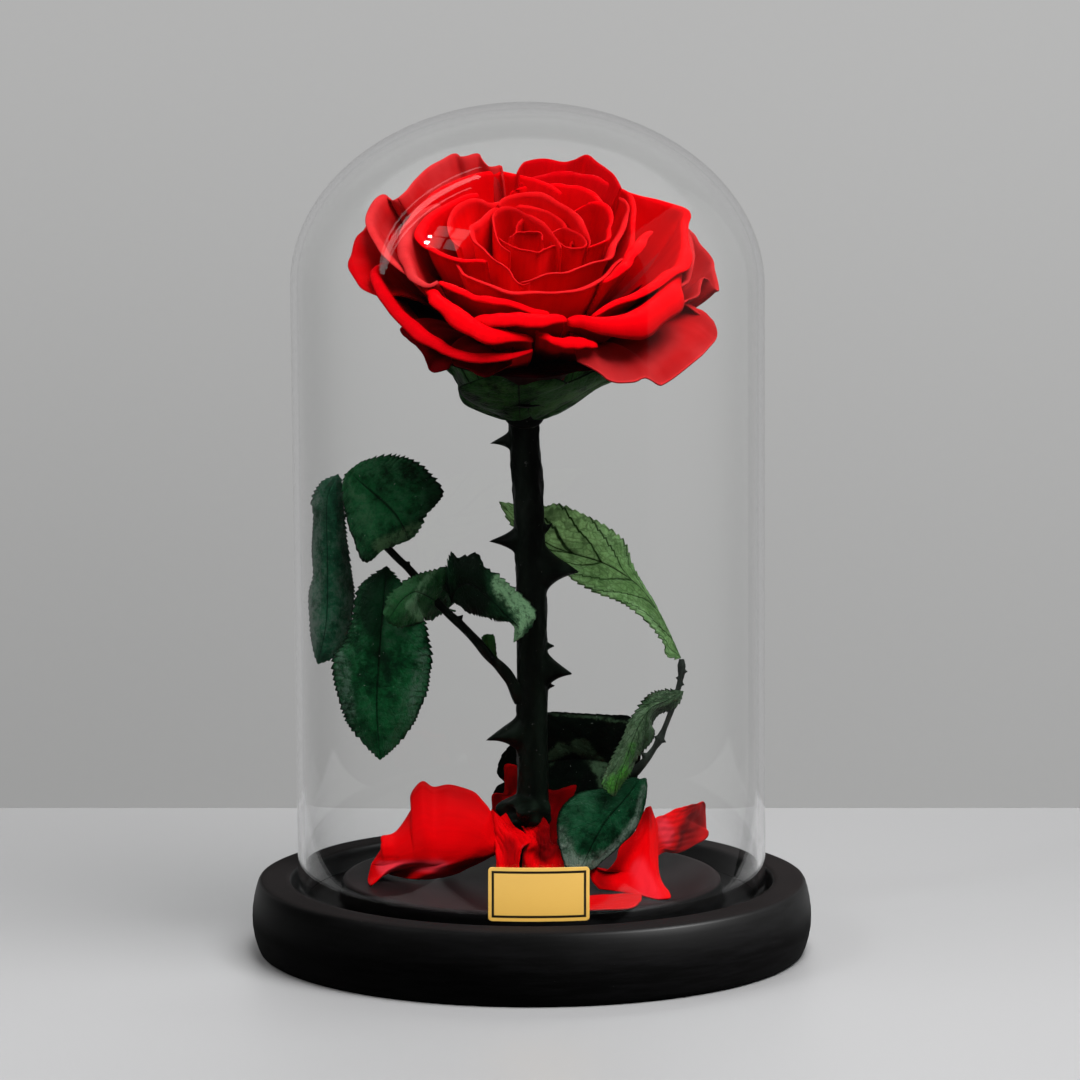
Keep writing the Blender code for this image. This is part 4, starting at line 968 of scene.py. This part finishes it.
sepals = dict(
    sepal_1=dict(
        vein=((-4, 5.5, 179.6), (-4.1, -2, 185.6), (-4.3, -8, 190.8), (-4.4, -13, 195.2),
              (-4.6, -16, 199.5)),
        left=((-7.7, 5.5, 180.3), (-14.1, 2, 183.3), (-20.1, -2, 186.3), (-24, -6, 190), (-24, -8, 192.2),
              (-18.9, -11, 194.4), (-13.2, -13.5, 196.3), (-8.6, -15, 198.1)),
        right=((-0.6, 5, 181), (1.4, 0, 185.5), (5.4, -4, 189.2), (9.4, -8, 191.8), (11.4, -10, 193.7),
               (7.7, -12, 195.2), (2.7, -14, 197), (-1.3, -15.5, 198.4)),
        patches=((-14.7, 192.7, -6.6, 191.4, 2.3, 0.5), (-0.6, 192.7, 6.7, 192.7, 2, 0.5),
                 (-9, 183.4, 1.1, 187.4, 1.7, -0.8)),
        bow=(0.12, 0.12)),
    sepal_2=dict(
        vein=((0.7, 7, 179.5), (8.1, 5, 183.4), (14.9, 3, 187.6), (21.9, 1, 191.8), (28.3, 1, 194.8)),
        left=((-1.3, 1, 183), (-0.3, -4, 187.2), (4.4, -7, 190.4), (11.1, -9, 193.3), (17.7, -9, 195.9),
              (22.8, -7, 197.8), (26.2, -4, 197.6)),
        right=((4.8, 9, 179.8), (10.9, 10, 182.4), (17.4, 10, 186.8), (23, 9, 190.3), (25.5, 8, 191.6),
               (27.7, 5, 193)),
        patches=((4.4, 183.8, 13.5, 188.6, 2.3, 0.7), (14.5, 187.9, 25, 193.3, 2.3, 0.9))),
    sepal_3=dict(
        vein=((0.1, 16, 178.7), (5.5, 22, 180.9), (10.3, 28, 185.2), (13.8, 33, 191), (15.9, 36, 199.3)),
        left=((-0.6, 24, 183.1), (0.1, 31, 187.7), (4.5, 37, 193.4), (9.7, 38, 197.5)),
        right=((9.6, 16, 181.7), (18.1, 17, 186.8), (23.9, 20, 192), (25.3, 24, 196.8), (21.6, 30, 200.1)),
        bow=(-0.1, -0.1)),
    sepal_4=dict(
        vein=((-5.4, 16, 178.7), (-10.9, 22, 181.6), (-15.4, 28, 185.9), (-18.5, 33, 191),
              (-21.3, 36, 199.3)),
        left=((-12.5, 15, 181.1), (-19.6, 15, 185.2), (-24.1, 17, 189.5), (-27.2, 20, 194.7),
              (-28.3, 25, 198.4), (-25.3, 31, 200.4)),
        right=((-4, 24, 183.1), (-4.4, 31, 187.7), (-8.2, 37, 193.4), (-14.4, 38, 197.5)),
        bow=(-0.1, -0.1)),
    sepal_5=dict(
        vein=((-5.4, 6, 179.5), (-13.4, 5, 183), (-19.5, 4, 187.5), (-23.5, 4, 192.2), (-28.9, 5, 198.9)),
        left=((-10.8, 8, 180.2), (-20.8, 8, 184), (-23.8, 9, 186.4), (-24.6, 10, 189.7), (-25.1, 10, 192.8),
              (-29, 10, 196.3), (-30.7, 8, 198.3)),
        right=((-9, 0, 182.8), (-14, -3, 186.4), (-18.7, -5, 190.6), (-21.3, -6, 194.7), (-23.4, -5, 198),
               (-26.1, 0, 199.9)),
        patches=((-19.5, 185.7, -10.7, 182.4, 1.7, 0.6),)))
for seed, (node, spec) in zip(itertools.count(60, 7), sepals.items()):
    blade("calyxLeaf" + node[-1], (node,), greens["calyxGreen"], "leaf_green", seed, rows=90, crumple=0.3,
          **spec)

leftBract = dict(
    vein=((-11.5, 1.2, 97), (-13.5, 0.6, 101.2), (-14.8, 0.2, 104.4), (-15.2, 0, 107.5)),
    left=((-14.5, 1, 99.8), (-16.2, 1, 103.2), (-16.9, 1, 106.3)),
    right=((-12, 0, 101.3), (-12.3, -0.5, 104.5), (-13, -0.5, 107.4)))
blade("leftBract", (), greens["calyxGreen"], "leaf_green", 90, rows=60, crumple=0.2, quilt=0.1, teeth=5,
      toothSize=0.5, **leftBract)

leaves = dict(
    leaf_left_top=dict(
        vein=((-61.7, -3.2, 163), (-53.9, -7.5, 156.9), (-47.1, -10, 151.1), (-43.1, -10.5, 145.4),
              (-41.5, -9.5, 140.2)),
        left=((-57, -4, 166.3), (-50.6, -5, 168.5), (-44.5, -5.5, 168.8), (-38.1, -6, 166.5),
              (-33.5, -6.5, 162.5), (-30.8, -7, 159.2), (-29.6, -7.5, 155.9), (-31.8, -8, 152.5),
              (-35.5, -8.5, 149.2), (-36.8, -9, 145.9), (-39.1, -9.2, 142.1)),
        right=((-63.3, -3.5, 160.2), (-63.5, -5, 154.9), (-61.8, -7.5, 147.1), (-59, -10, 141),
               (-55.9, -13, 133.9), (-50.1, -13, 137.3), (-45.8, -11.5, 138.8)),
        bends=((-34.1, 151.2, -54.9, 138.7, 0.5),),
        patches=((-50.2, 139.1, -38.5, 144.8, 2.2, 1.1), (-33.4, 164, -32.1, 153.9, 4, -0.6),
                 (-62.5, 165.7, -52.6, 140.4, 4, 0.25)),
        bow=(0.1, 0.12), green="leafGreen", teeth=31),
    leaf_left_outer=dict(
        vein=((-65.2, -1.4, 162), (-69, 0, 153), (-69.1, 0, 132.7), (-69.6, 1, 112.1), (-72.9, 3, 96.8)),
        left=((-71.2, 1, 159), (-74.9, 3, 153), (-74.4, 4, 147), (-74.8, 5, 134.8), (-74.3, 5, 126.8),
              (-76, 5.5, 121.1), (-76.3, 6, 115.9), (-75.5, 6, 105.9), (-74.6, 5, 100.6)),
        right=((-64, -1, 159.2), (-63.7, 0, 154.4), (-62.5, 2, 140.6), (-61.5, 3, 131.6), (-60.6, 4, 121.9),
               (-60.9, 4, 115.1), (-63, 4, 104.8), (-67.5, 3.5, 99.1)),
        bends=((-65.3, 159.1, -64.9, 105.3, 0.9),),
        patches=((-73.8, 153, -74.4, 105.3, 4, 0.7),),
        bow=(0.12, 0.12), green="leafPale", teeth=40, toothSize=1.0),
    leaf_left_hanging=dict(
        vein=((-48.8, -3.6, 131.1), (-49.6, -8.6, 120.2), (-51, -11, 103.6), (-52, -12.5, 86.8),
              (-51.6, -12, 74.9), (-51, -11, 66.3)),
        left=((-54.5, -4, 127.9), (-58.2, -5, 124.6), (-59.7, -6, 120.5), (-60.8, -7.5, 113.9),
              (-62.8, -9, 106.7), (-66.5, -9.5, 100.7), (-66.3, -10, 93.9), (-64.8, -10.5, 87.2),
              (-62.5, -10.5, 79.4), (-58.8, -11, 74.4), (-54.5, -11, 69.6)),
        right=((-44.6, -5, 126.5), (-40.3, -7, 120), (-36, -8, 112.1), (-34.6, -9, 106.7),
               (-33.5, -10, 101.4), (-34.2, -10.5, 94.7), (-35.1, -11, 89.3), (-37.2, -11.5, 84.3),
               (-39.7, -11.5, 78.9), (-45.4, -11.5, 71.7)),
        patches=((-63.8, 101.7, -61.2, 81.3, 2.7, 0.6), (-36.6, 103.4, -40.3, 81.3, 2.3, 0.5),
                 (-50.9, 128.8, -53.6, 116.3, 5.4, -1), (-53.6, 120.3, -51.7, 103.4, 3, -0.6)),
        bow=(0.16, 0.14), green="leafGrey", teeth=40),
    leaf_left_folded=dict(
        vein=((-28.6, -1.9, 115.2), (-32.2, -6, 118.5), (-36.1, -11, 122.2), (-39.7, -16, 123.9),
              (-43.9, -20, 121), (-47.9, -22, 114.6)),
        left=((-25.2, -2, 119.3), (-24.9, -3, 124.9), (-27.5, -4, 130.4), (-33.5, -8, 130.1),
              (-38.1, -13, 129.4), (-43.3, -17, 127), (-47.9, -21, 122.8), (-49.2, -22, 117.9)),
        right=((-25.9, -2, 114.2), (-29.4, -3, 114.5), (-31.6, -4, 113.6), (-34.9, -7, 112.5),
               (-38.2, -10, 116.3), (-36.8, -12, 113), (-39.7, -15, 112.4), (-43.9, -20, 112.4)),
        bends=((-33.4, 130.5, -40.5, 118.7, 0.7),),
        patches=((-33.7, 129.5, -40.5, 119.7, 1.5, 1), (-40.5, 119.7, -37.5, 114, 1.5, 1),
                 (-33.4, 130.7, -27.4, 131.5, 1, 0.6)),
        bow=(0.12, 0.1), green="leafLobe", teeth=22),
    leaf_left_curled=dict(
        vein=((-27, -1.1, 118.5), (-24.8, -6, 123.9), (-20.7, -9.5, 125.7), (-15, -12, 122),
              (-9.7, -13.5, 116.8), (-4.6, -14.5, 111.5), (-6, -14, 106.7)),
        left=((-29.3, -3, 126.9), (-27.3, -5, 135.9), (-24.5, -6.5, 134.5), (-18.4, -8.5, 136.1),
              (-15.7, -9.5, 131.5), (-12, -10.5, 129.2), (-4.6, -12, 123), (1.3, -13, 116.7),
              (0.7, -13.5, 112.7), (-2.4, -14, 109.1)),
        right=((-24.5, -4, 118.2), (-21.1, -6.5, 116), (-15.7, -9, 114.7), (-11.4, -11, 113.4),
               (-7.7, -12.5, 113.6), (-5.5, -13.5, 111.4)),
        bends=((-14.4, 129.9, -5.3, 112.3, 0.6),),
        patches=((-10.7, 125.8, -1.6, 116, 3.4, 1.1), (-4, 111.6, -5.3, 107.5, 2.3, 1),
                 (-22.1, 134.6, -18.7, 120.4, 4.7, -1.3)),
        bow=(0.14, 0.12), green="leafCurled", teeth=25),
    leaf_right_top=dict(
        vein=((50.9, 10.6, 97.7), (46.1, 12.5, 107.8), (41, 14.5, 116.5), (35.1, 16.5, 123.1),
              (25.2, 19, 129.1), (13.7, 21, 132.5), (5.9, 21.5, 135.4), (-2.3, 21, 141.1),
              (-11.2, 20, 150.4)),
        left=((48.3, 12, 103.7), (45.1, 15, 110.5), (42.1, 18, 116.3), (37.1, 21, 124.4), (34.2, 22, 129.8),
              (32.6, 22, 134.5), (30.5, 21.5, 137.5), (26.7, 21, 140.8), (20.6, 20, 144.5),
              (15.2, 19.5, 147.2), (10.8, 19.5, 149), (7.9, 19.5, 149.7), (4.8, 19.5, 148.9),
              (-0.6, 20, 149.8), (-6.4, 20, 149.8)),
        right=((48.1, 10, 97.8), (45.6, 10, 99.3), (45.3, 10.5, 102.3), (43.2, 11, 105.3),
               (39.6, 11.5, 109.5), (35.8, 12, 113), (30.9, 13, 116.1), (26.2, 14, 118.1),
               (21.5, 15, 119.8), (14.7, 16.5, 123.6), (10.8, 17.5, 126.6), (5.5, 19, 130.3),
               (-0.6, 19.5, 135.5), (-6, 20, 141.1), (-8.3, 20, 144.2)),
        bow=(0.1, -0.08), green="leafBright", teeth=34, toothSize=1.2),
    leaf_right_folded=dict(
        vein=((51.7, 8.2, 86.7), (46.2, 3, 84.4), (40.7, -2, 82.8), (36.5, -6, 78), (33.7, -9, 72),
              (31.7, -11.5, 66.6), (29, -14, 60.9), (27.6, -14, 54.3)),
        left=((48, 6, 87.6), (44.2, 3, 87.9), (40.5, 0, 87.5), (37.5, -1, 85), (35, -2, 81.4),
              (32.5, -4, 78.2), (30.8, -5, 73.5), (27.1, -7, 66.5), (24.7, -9, 61.9), (23.5, -11, 58.3),
              (25, -13, 56)),
        right=((50.4, 7, 83.1), (48, 6, 80.9), (43.1, 4, 79.3), (40.6, 2, 76), (41.4, 1, 73.8),
               (40.5, -1, 71), (36.8, -4, 67.2), (34.4, -6.5, 63.9), (33.1, -8.5, 60.6), (30, -11.5, 57.5)),
        patches=((25.1, 57, 31.2, 61.2, 2.7, 1), (31.2, 61.2, 33.8, 70.4, 1.7, 0.6)),
        bow=(0.02, 0.1), green="leafFolded", teeth=31),
    leaf_right_low=dict(
        vein=((36.9, 5.4, 56.8), (31.2, -4, 51.3), (23.9, -15, 44.7), (16.4, -29, 33.1)),
        left=((36.9, 5.4, 56.8), (34, 4, 57.6), (28.3, 2, 55.7), (23.5, 0, 54.8), (16.3, -4, 54.3),
              (11.4, -9, 51.5), (9, -13, 48.1), (8.4, -18, 43.6), (9.4, -24, 37.9), (11.7, -28, 32.6),
              (16.4, -29.5, 31.5)),
        right=((36.9, 5.4, 56.8), (38.9, 5, 57.1), (39.5, 3, 54.5), (39, 0, 50.5), (37, -4, 45.1),
               (33.8, -9, 40.8), (29, -15, 37), (24.2, -21, 33.6), (20.8, -26, 31.9), (16.4, -29.5, 31.5)),
        patches=((9.5, 42.2, 14.2, 32.6, 2.7, 0.7), (12.9, 31.9, 25, 34, 3.4, 0.9),
                 (23, 32.6, 34.5, 43.6, 2, 0.8), (34.5, 43.6, 38.1, 54.2, 1.3, 0.6)),
        whole=True, bow=(0.14, 0.14), green="leafGlossy", teeth=27, toothSize=0.25),
    leaf_right_dark=dict(
        vein=((36.9, 9.1, 59.3), (26.8, 17, 60.7), (14.9, 22, 61.2), (2.8, 23, 58.6), (-9.3, 22, 52.8)),
        left=((37.3, 10, 69.5), (34.2, 12, 77), (26.8, 15, 77.5), (16.5, 18, 77.6), (6.1, 20, 77.7),
              (-1.3, 21.5, 75.3), (-7.5, 22, 66.1), (-10.5, 22, 62.1), (-12, 22, 56.3)),
        right=((33.5, 8, 50.8), (23.4, 12, 44.2), (9.7, 16, 41.4), (-4.1, 19, 41.8), (-12.7, 21, 46.7),
               (-12.4, 22, 50.9)),
        # painted highlights: a pale line along the top edge and an arc along the curved rim
        patches=((5.9, 77.5, 34.1, 75.4, 0.6, 1.1), (5.9, 61.1, 10.4, 64.6, 2.3, 1),
                 (10.4, 64.6, 17.2, 66, 2.3, 1), (17.2, 66, 23.4, 59.4, 2.7, 1),
                 (23.4, 59.4, 25.5, 52.4, 2.3, 0.8)),
        bow=(0.1, 0.08), green="leafDark", teeth=29, toothSize=0.3))
for seed, (node, spec) in zip(itertools.count(300, 31), leaves.items()):
    name = "leaf" + "".join(word.capitalize() for word in node.split("_")[1:])
    blade(name, (node,), greens[spec.pop("green")], "leaf_green", seed, **spec)

# on the loose petals a positive patch is a painted highlight and a negative one painted shade
fallen = dict(
    fallen_petal_1=dict(
        vein=((-11.2, -12, 34.9), (-21.5, -13.5, 32.8), (-31.4, -14.5, 31.6), (-42.7, -14, 31.9),
              (-49.9, -13, 30.6), (-54, -11, 30.6)),
        left=((-12.8, -8, 41), (-14, -3, 47.3), (-17, 3, 50.3), (-19.7, 7, 52.2), (-24.6, 10, 53.4),
              (-28.8, 11, 54), (-33.8, 11, 53.2), (-37.4, 10, 55.4), (-40.6, 8, 52.9), (-41.8, 6, 50.1),
              (-41, 4, 47.4), (-46.3, -3, 40.7), (-51, -7, 39.6), (-50.1, -9, 37.1), (-51.7, -10, 34.2)),
        right=((-17.5, -9, 31.1), (-22.6, -7, 28.2), (-27, -5.4, 25.7), (-34.6, -11.5, 25.5),
               (-40, -12.5, 25.8), (-46.8, -6.6, 25.9), (-50.3, -2, 25.9), (-52.7, -11, 25.4),
               (-53.6, -21.2, 25.4), (-55.2, -12.7, 25.4)),
        bends=((-34.9, 56, -14.1, 47.4, -0.5),),
        patches=((-50.2, 30.3, -31, 30.6, 2, 0.9), (-31, 30.6, -20.9, 32.7, 1.2, 0.4),
                 (-36, 56.3, -15.8, 48.8, 3, -0.3), (-25.9, 29.6, -12.4, 35.8, 2, -0.5),
                 (-51.9, 33.4, -45.1, 33.4, 0.8, -0.4)),
        bow=(0.2, 0.05), crumple=0.3),
    fallen_petal_2=dict(
        vein=((-8, -26.3, 25.5), (-7.3, -17, 35.9), (-8, -11, 40.2), (-10.8, -3, 44.9)),
        left=((-11.6, -26.3, 25.5), (-11.7, -19, 34.2), (-12.5, -11, 38.8), (-14.9, -5, 43.9),
              (-13.5, -3, 47.3)),
        right=((-4.3, -26.3, 25.5), (-3.6, -18, 36.1), (-0.1, -16, 40), (-5.7, -6, 43), (-8.8, -2, 46.4)),
        bends=((-10.7, 28.5, -9, 45.6, 0.8),),
        patches=((-3.7, 29.9, -2.6, 37.4, 1, 0.5), (-7.4, 37.4, -7, 33.3, 2.7, -0.7)),
        whole=True),
    fallen_petal_3=dict(
        vein=((2.7, -26.3, 25.5), (2.7, -17, 34.5), (1.7, -12, 38.3), (-0.3, -4, 43.7)),
        left=((-4, -26.3, 25.5), (-2.6, -19, 36.3), (-0.1, -17, 40.1), (-4, -6, 42.5), (-4.4, -3, 45.9)),
        right=((11.7, -26.3, 25.5), (10.4, -22, 34.1), (9, -20, 38.4), (6.4, -14, 38.7), (5.8, -6, 43.4),
               (3.4, -3, 45.9)),
        bends=((2.1, 28.6, 0.4, 44.7, 1),),
        patches=((4.1, 45.7, 3.8, 35.5, 3, -0.95), (7.1, 44.7, 6.8, 38.9, 3.4, -1),
                 (-2.6, 37.5, -4.3, 30, 1, 0.35)),
        whole=True, bow=(0.05, 0.1)),
    fallen_petal_4=dict(
        vein=((35.8, -39.4, 25.8), (37.7, -28, 32.6), (38.6, -19, 41), (40, -10, 50.3)),
        left=((22.3, -35.1, 25.6), (19.7, -34, 28.4), (20, -30, 31.6), (24.7, -32, 31.7), (27.8, -31, 35.2),
              (29, -29, 38.9), (33.9, -21, 42.5), (36.5, -15, 46.2), (38.1, -11, 49.4), (40, -10, 50.3)),
        right=((41.6, -44.4, 25.4), (45.5, -43.1, 25.8), (43.5, -32, 27.4), (42.1, -27, 30.8),
               (42, -22, 35.5), (42.4, -16, 43.5), (41.5, -13, 46.8), (40, -10, 50.3)),
        bends=((33.5, 23.7, 37.1, 43, 0.6),),
        patches=((35.5, 32.5, 40.2, 25, 3.4, 0.45), (26.8, 27.7, 34.9, 25, 2.3, 0.2),
                 (24.1, 29.1, 37.1, 48.8, 4, -0.6), (38.8, 52.2, 40.2, 44.7, 2.3, -0.2)),
        whole=True, bow=(-0.08, 0.08), crumple=0.45),
    fallen_petal_5=dict(
        vein=((-0.9, -51.3, 25.9), (4.3, -53.9, 26.1), (14.1, -56.1, 26.3), (25.6, -55, 26.5),
              (32.9, -50.9, 26.4), (35.9, -46.7, 26.2)),
        left=((-0.9, -51.3, 25.9), (3, -45.3, 26), (8.6, -43, 26.2), (14.2, -43.1, 26.3),
              (22.5, -43.8, 26.7), (30.1, -43.7, 26.8), (36.1, -42, 26.5)),
        right=((-0.9, -51.3, 25.9), (3, -58.8, 25.7), (8.5, -62.3, 25.6), (14, -63.1, 25.6),
               (22.2, -62.8, 25.6), (32, -60.4, 25.7), (35.5, -50.1, 25.9)),
        patches=((19.1, 26.7, 34.2, 27.7, 3, -0.35),),
        whole=True, crumple=0.25),
    fallen_petal_6=dict(
        vein=((42.4, -5, 35.6), (46.3, -1, 37.6), (51.9, 6, 41.8), (57.3, 12, 45.9)),
        left=((42.1, -4, 40.2), (42, -1, 44.4), (45.4, 3, 45.1), (49.2, 8, 46), (54.2, 11, 46.3),
              (57.3, 12, 45.9)),
        right=((42.3, -6, 32.4), (45.2, -2, 33), (49.4, 0, 31.4), (54.8, 5, 31.5), (60.7, 12, 32),
               (62, 15, 33.6), (61.2, 16, 35.1), (60.7, 16, 40.7), (60, 15, 45.4), (57.3, 12, 45.9)),
        bends=((51.5, 47.9, 45.1, 32.7, 1.1),),
        patches=((44.3, 41.7, 47.1, 36.8, 2.7, 0.75), (57.3, 42.4, 52.6, 33.4, 4.7, -0.6),
                 (55.2, 45.8, 47.8, 32.7, 1.7, -0.35)),
        whole=True, bow=(-0.04, -0.02), crumple=0.5),
    fallen_petal_7=dict(
        vein=((-0.6, 18.7, 25.5), (-0.6, 8, 35.2), (-0.6, 15, 42.6), (-1.3, 17, 50.9), (-2.7, 17, 59.3)),
        left=((-0.6, 18.7, 25.5), (-6.1, 6, 32.1), (-10.9, 11, 36.7), (-13.3, 13, 41.2), (-13.7, 13.5, 46),
              (-13.5, 13.5, 50.2), (-9.7, 14.5, 50.5), (-9.5, 15.5, 55.7), (-9.2, 16, 60),
              (-5.1, 16.5, 59.7)),
        right=((-0.6, 18.7, 25.5), (5.9, 7, 31.9), (12.4, 14, 36.8), (14.8, 16, 40.7), (17.3, 17.5, 47.4),
               (22.4, 18.5, 52.4), (20, 18.5, 54.7), (12.4, 18, 50.4), (4.5, 17.5, 50.8), (0.1, 17, 58.9)),
        patches=((-11.6, 48.5, -11.6, 39.1, 2.3, -0.65), (8.3, 47.8, 9.7, 37.3, 8.1, -0.95),
                 (9.7, 49.5, 20.6, 53.4, 5.4, -0.95)),
        whole=True, bow=(0.03, 0.03)))
for seed, (node, spec) in zip(itertools.count(700, 17), fallen.items()):
    spec = {"crumple": 0.8, **spec}
    blade("loosePetal" + node[-1], (node,), loosePetal, "petal_red", seed, rows=110, quilt=0.0, thick=0.5,
          **spec)
print("sepals, leaves and fallen petals made")


# Table, lamps and camera

# plain greys, a little less blue than red and green
def greys(*values):
    return [(value, value, value * 0.995) for value in values]


# the table is painted a little darker at the back and at the left, painted shade where less light falls; the
# wall's tones, painted lighter to the right, are at its left and right
stage = dict(
    backEdge=0.261, backSide=0.25, front=-0.2, frontSide=0.165, nearTone=(0.395, 0.395, 0.4),
    farTone=(0.325, 0.325, 0.328), wallLow=greys(0.335, 0.385), wallHigh=greys(0.452, 0.482),
    light=(0.42, 0.42, 0.42), room=(0.012, 0.012, 0.012), plaster=(0.25, 0.25, 0.25), plasterScale=420.0,
    plasterShare=0.12, lighterThroughGlass=0.12)
paleTable = Finish("paleTable", Roughness=0.42, Specular_IOR_Level=0.35)
side, depth, _ = paleTable.parts(paleTable.objectPlace())
# painted shade: darker towards the back and the left
away = depth.between(-0.14, 0.16) * (0.75 - side.between(-0.16, 0.16) * 0.35)
paleTable.feed(Base_Color=paleTable.mix(away, stage["nearTone"], stage["farTone"]))
x, y = np.meshgrid(np.linspace(-1, 1, 9), np.linspace(0, 1, 9))
x = x * (stage["frontSide"] + (stage["backSide"] - stage["frontSide"]) * y)
y = stage["front"] + (stage["backEdge"] - stage["front"]) * y
table = gridMesh("tableTop", np.stack([x, y, 0 * x], -1) / mm, paleTable)

# The wall is the world's grey, seen by the camera and through the glass, painted lighter upwards and to the
# right as painted light, and painted lighter still through the glass. For what mirrors or scatters it, it is
# light behind the object and the room in front is dim, as in a studio.
world = bpy.data.worlds.new("plainWall")
bpy.context.scene.world = world
world.use_nodes = True
room = Finish("room", world.node_tree)
rays = ("Is Camera Ray", "Is Transmission Ray")
direct, through = (room.node("ShaderNodeLightPath", out=ray) for ray in rays)
unmirrored = room.node("ShaderNodeLightPath", out="Glossy Depth").math("LESS_THAN", 0.5)
seen = direct.math("MAXIMUM", through) * unmirrored
toward = room.node("ShaderNodeTexCoord", out="Generated")
side, depth, rise = room.parts(toward)
# painted light: the wall is lighter upwards and to the right
rightward, upward = side.between(-0.14, 0.14), rise.between(-0.2, 0.04)
low, high = (room.mix(rightward, *stage[level]) for level in ("wallLow", "wallHigh"))
grain = room.noise(stage["plasterScale"], 3.0, place=toward)
smooth = room.mix(upward, low, high)
plaster = room.mix((grain - 0.5) * 0.5 + 0.25, smooth, stage["plaster"], "SOFT_LIGHT")
wall = room.mix(stage["plasterShare"], smooth, plaster)
# painted light: lighter where seen through the glass
lighter = through * stage["lighterThroughGlass"] + 1
wall = room.node("ShaderNodeVectorMath", {"operation": "SCALE"}, {"Vector": wall, "Scale": lighter})
around = room.mix(depth.between(0.55, 0.95), stage["room"], stage["light"])
room.tree.links.new(room.mix(seen, around, wall).socket, room.tree.nodes["Background"].inputs["Color"])

# each lamp: its middle, what it points at, the way its width runs, width and height in metres, and
# watts; pane holds what the window's four share; the soft ones are screens that the glass doesn't mirror
pane = ((0, 0, 0.2), (0.7, -0.7, 0), 0.2, 0.2, 0.32)
lamps = dict(
    windowFarTop=((-0.93, -0.77, 1.33), *pane),
    windowNearTop=((-0.76, -0.94, 1.33), *pane),
    windowFarLow=((-1.04, -0.85, 1.15), *pane),
    windowNearLow=((-0.87, -1.02, 1.15), *pane),
    brightLampTop=((-1.03, -0.70, 1.19), (0, 0, 0.2), (0.53, -0.85, 0), 0.05, 0.05, 1.1),
    brightLampLow=((-1.06, -0.73, 1.09), (0, 0, 0.2), (0.53, -0.85, 0), 0.06, 0.05, 1.3),
    stripTop=((-1.05, -0.10, 1.25), (0, 0, 0.1), (-0.95, -0.32, 0), 2.0, 0.03, 0.5),
    stripMiddle=((-1.10, -0.24, 1.25), (0, 0, 0.1), (-0.95, -0.32, 0), 2.0, 0.09, 2.4),
    stripLow=((-1.10, -0.36, 1.25), (0, 0, 0.1), (-0.95, -0.32, 0), 1.7, 0.03, 0.5),
    sideScreen=((1.6, 0.2, 0.7), (0, 0.2, 0.7), (0, 1, 0), 2.4, 2.0, 4.0),
    sheen=((1.15, -0.45, 1.1), (0.03, -0.09, 0.02), (0.8, 0.6, 0), 0.5, 0.3, 100.0),
    gleam=((0.05, -1.0, 0.7), (0.0, -0.08, 0.03), (1, 0, 0), 0.4, 0.4, 3.6),
    softTop=((0.45, -0.55, 1.45), (0, 0, 0.12), (1, 0, 0), 1.1, 0.9, 34.0),
    softBack=((0.2, 0.9, 1.3), (0, 0, 0.2), (1, 0, 0), 0.9, 0.5, 9.0),
    softLeft=((-0.9, -0.7, 0.9), (0, 0, 0.15), (1, 0, 0), 0.5, 0.5, 2.0))
linked = dict(sheen=base, gleam=plaque)  # lamps for one piece alone: the satin's sheen and the plate's gleam
for name, (place, aim, along, wide, high, power) in lamps.items():
    light = bpy.data.lights.new(name, "AREA")
    light.shape, light.size, light.size_y, light.energy = "RECTANGLE", wide, high, power
    lamp = bpy.data.objects.new(name, light)
    away = (Vector(place) - Vector(aim)).normalized()
    upright = away.cross(Vector(along)).normalized()
    lamp.matrix_world = Matrix((upright.cross(away), upright, away)).transposed().to_4x4()
    lamp.location = place
    lamp.visible_camera = lamp.visible_transmission = False
    lamp.visible_glossy = not name.startswith("soft")
    bpy.context.scene.collection.objects.link(lamp)
    if name in linked:
        receivers = bpy.data.collections.new(name + "Receivers")
        receivers.objects.link(linked[name])
        lamp.light_linking.receiver_collection = receivers

# down is how far the camera looks down, in radians, and focus its focal length over the film's width
view = dict(place=(0, -1.4, 0.30396), down=0.11696, focus=4179.8 / 1080, aside=0.007546, film=36,
            nearest=0.01)
camera = bpy.data.cameras.new("camera")
camera.sensor_width, camera.lens, camera.shift_x = view["film"], view["film"] * view["focus"], view["aside"]
camera.clip_start = view["nearest"]
cameraObject = bpy.data.objects.new("camera", camera)
cameraObject.location = view["place"]
cameraObject.rotation_euler = (math.pi / 2 - view["down"], 0, 0)
bpy.context.scene.collection.objects.link(cameraObject)
bpy.context.scene.camera = cameraObject
bpy.context.scene.view_settings.view_transform = "Standard"
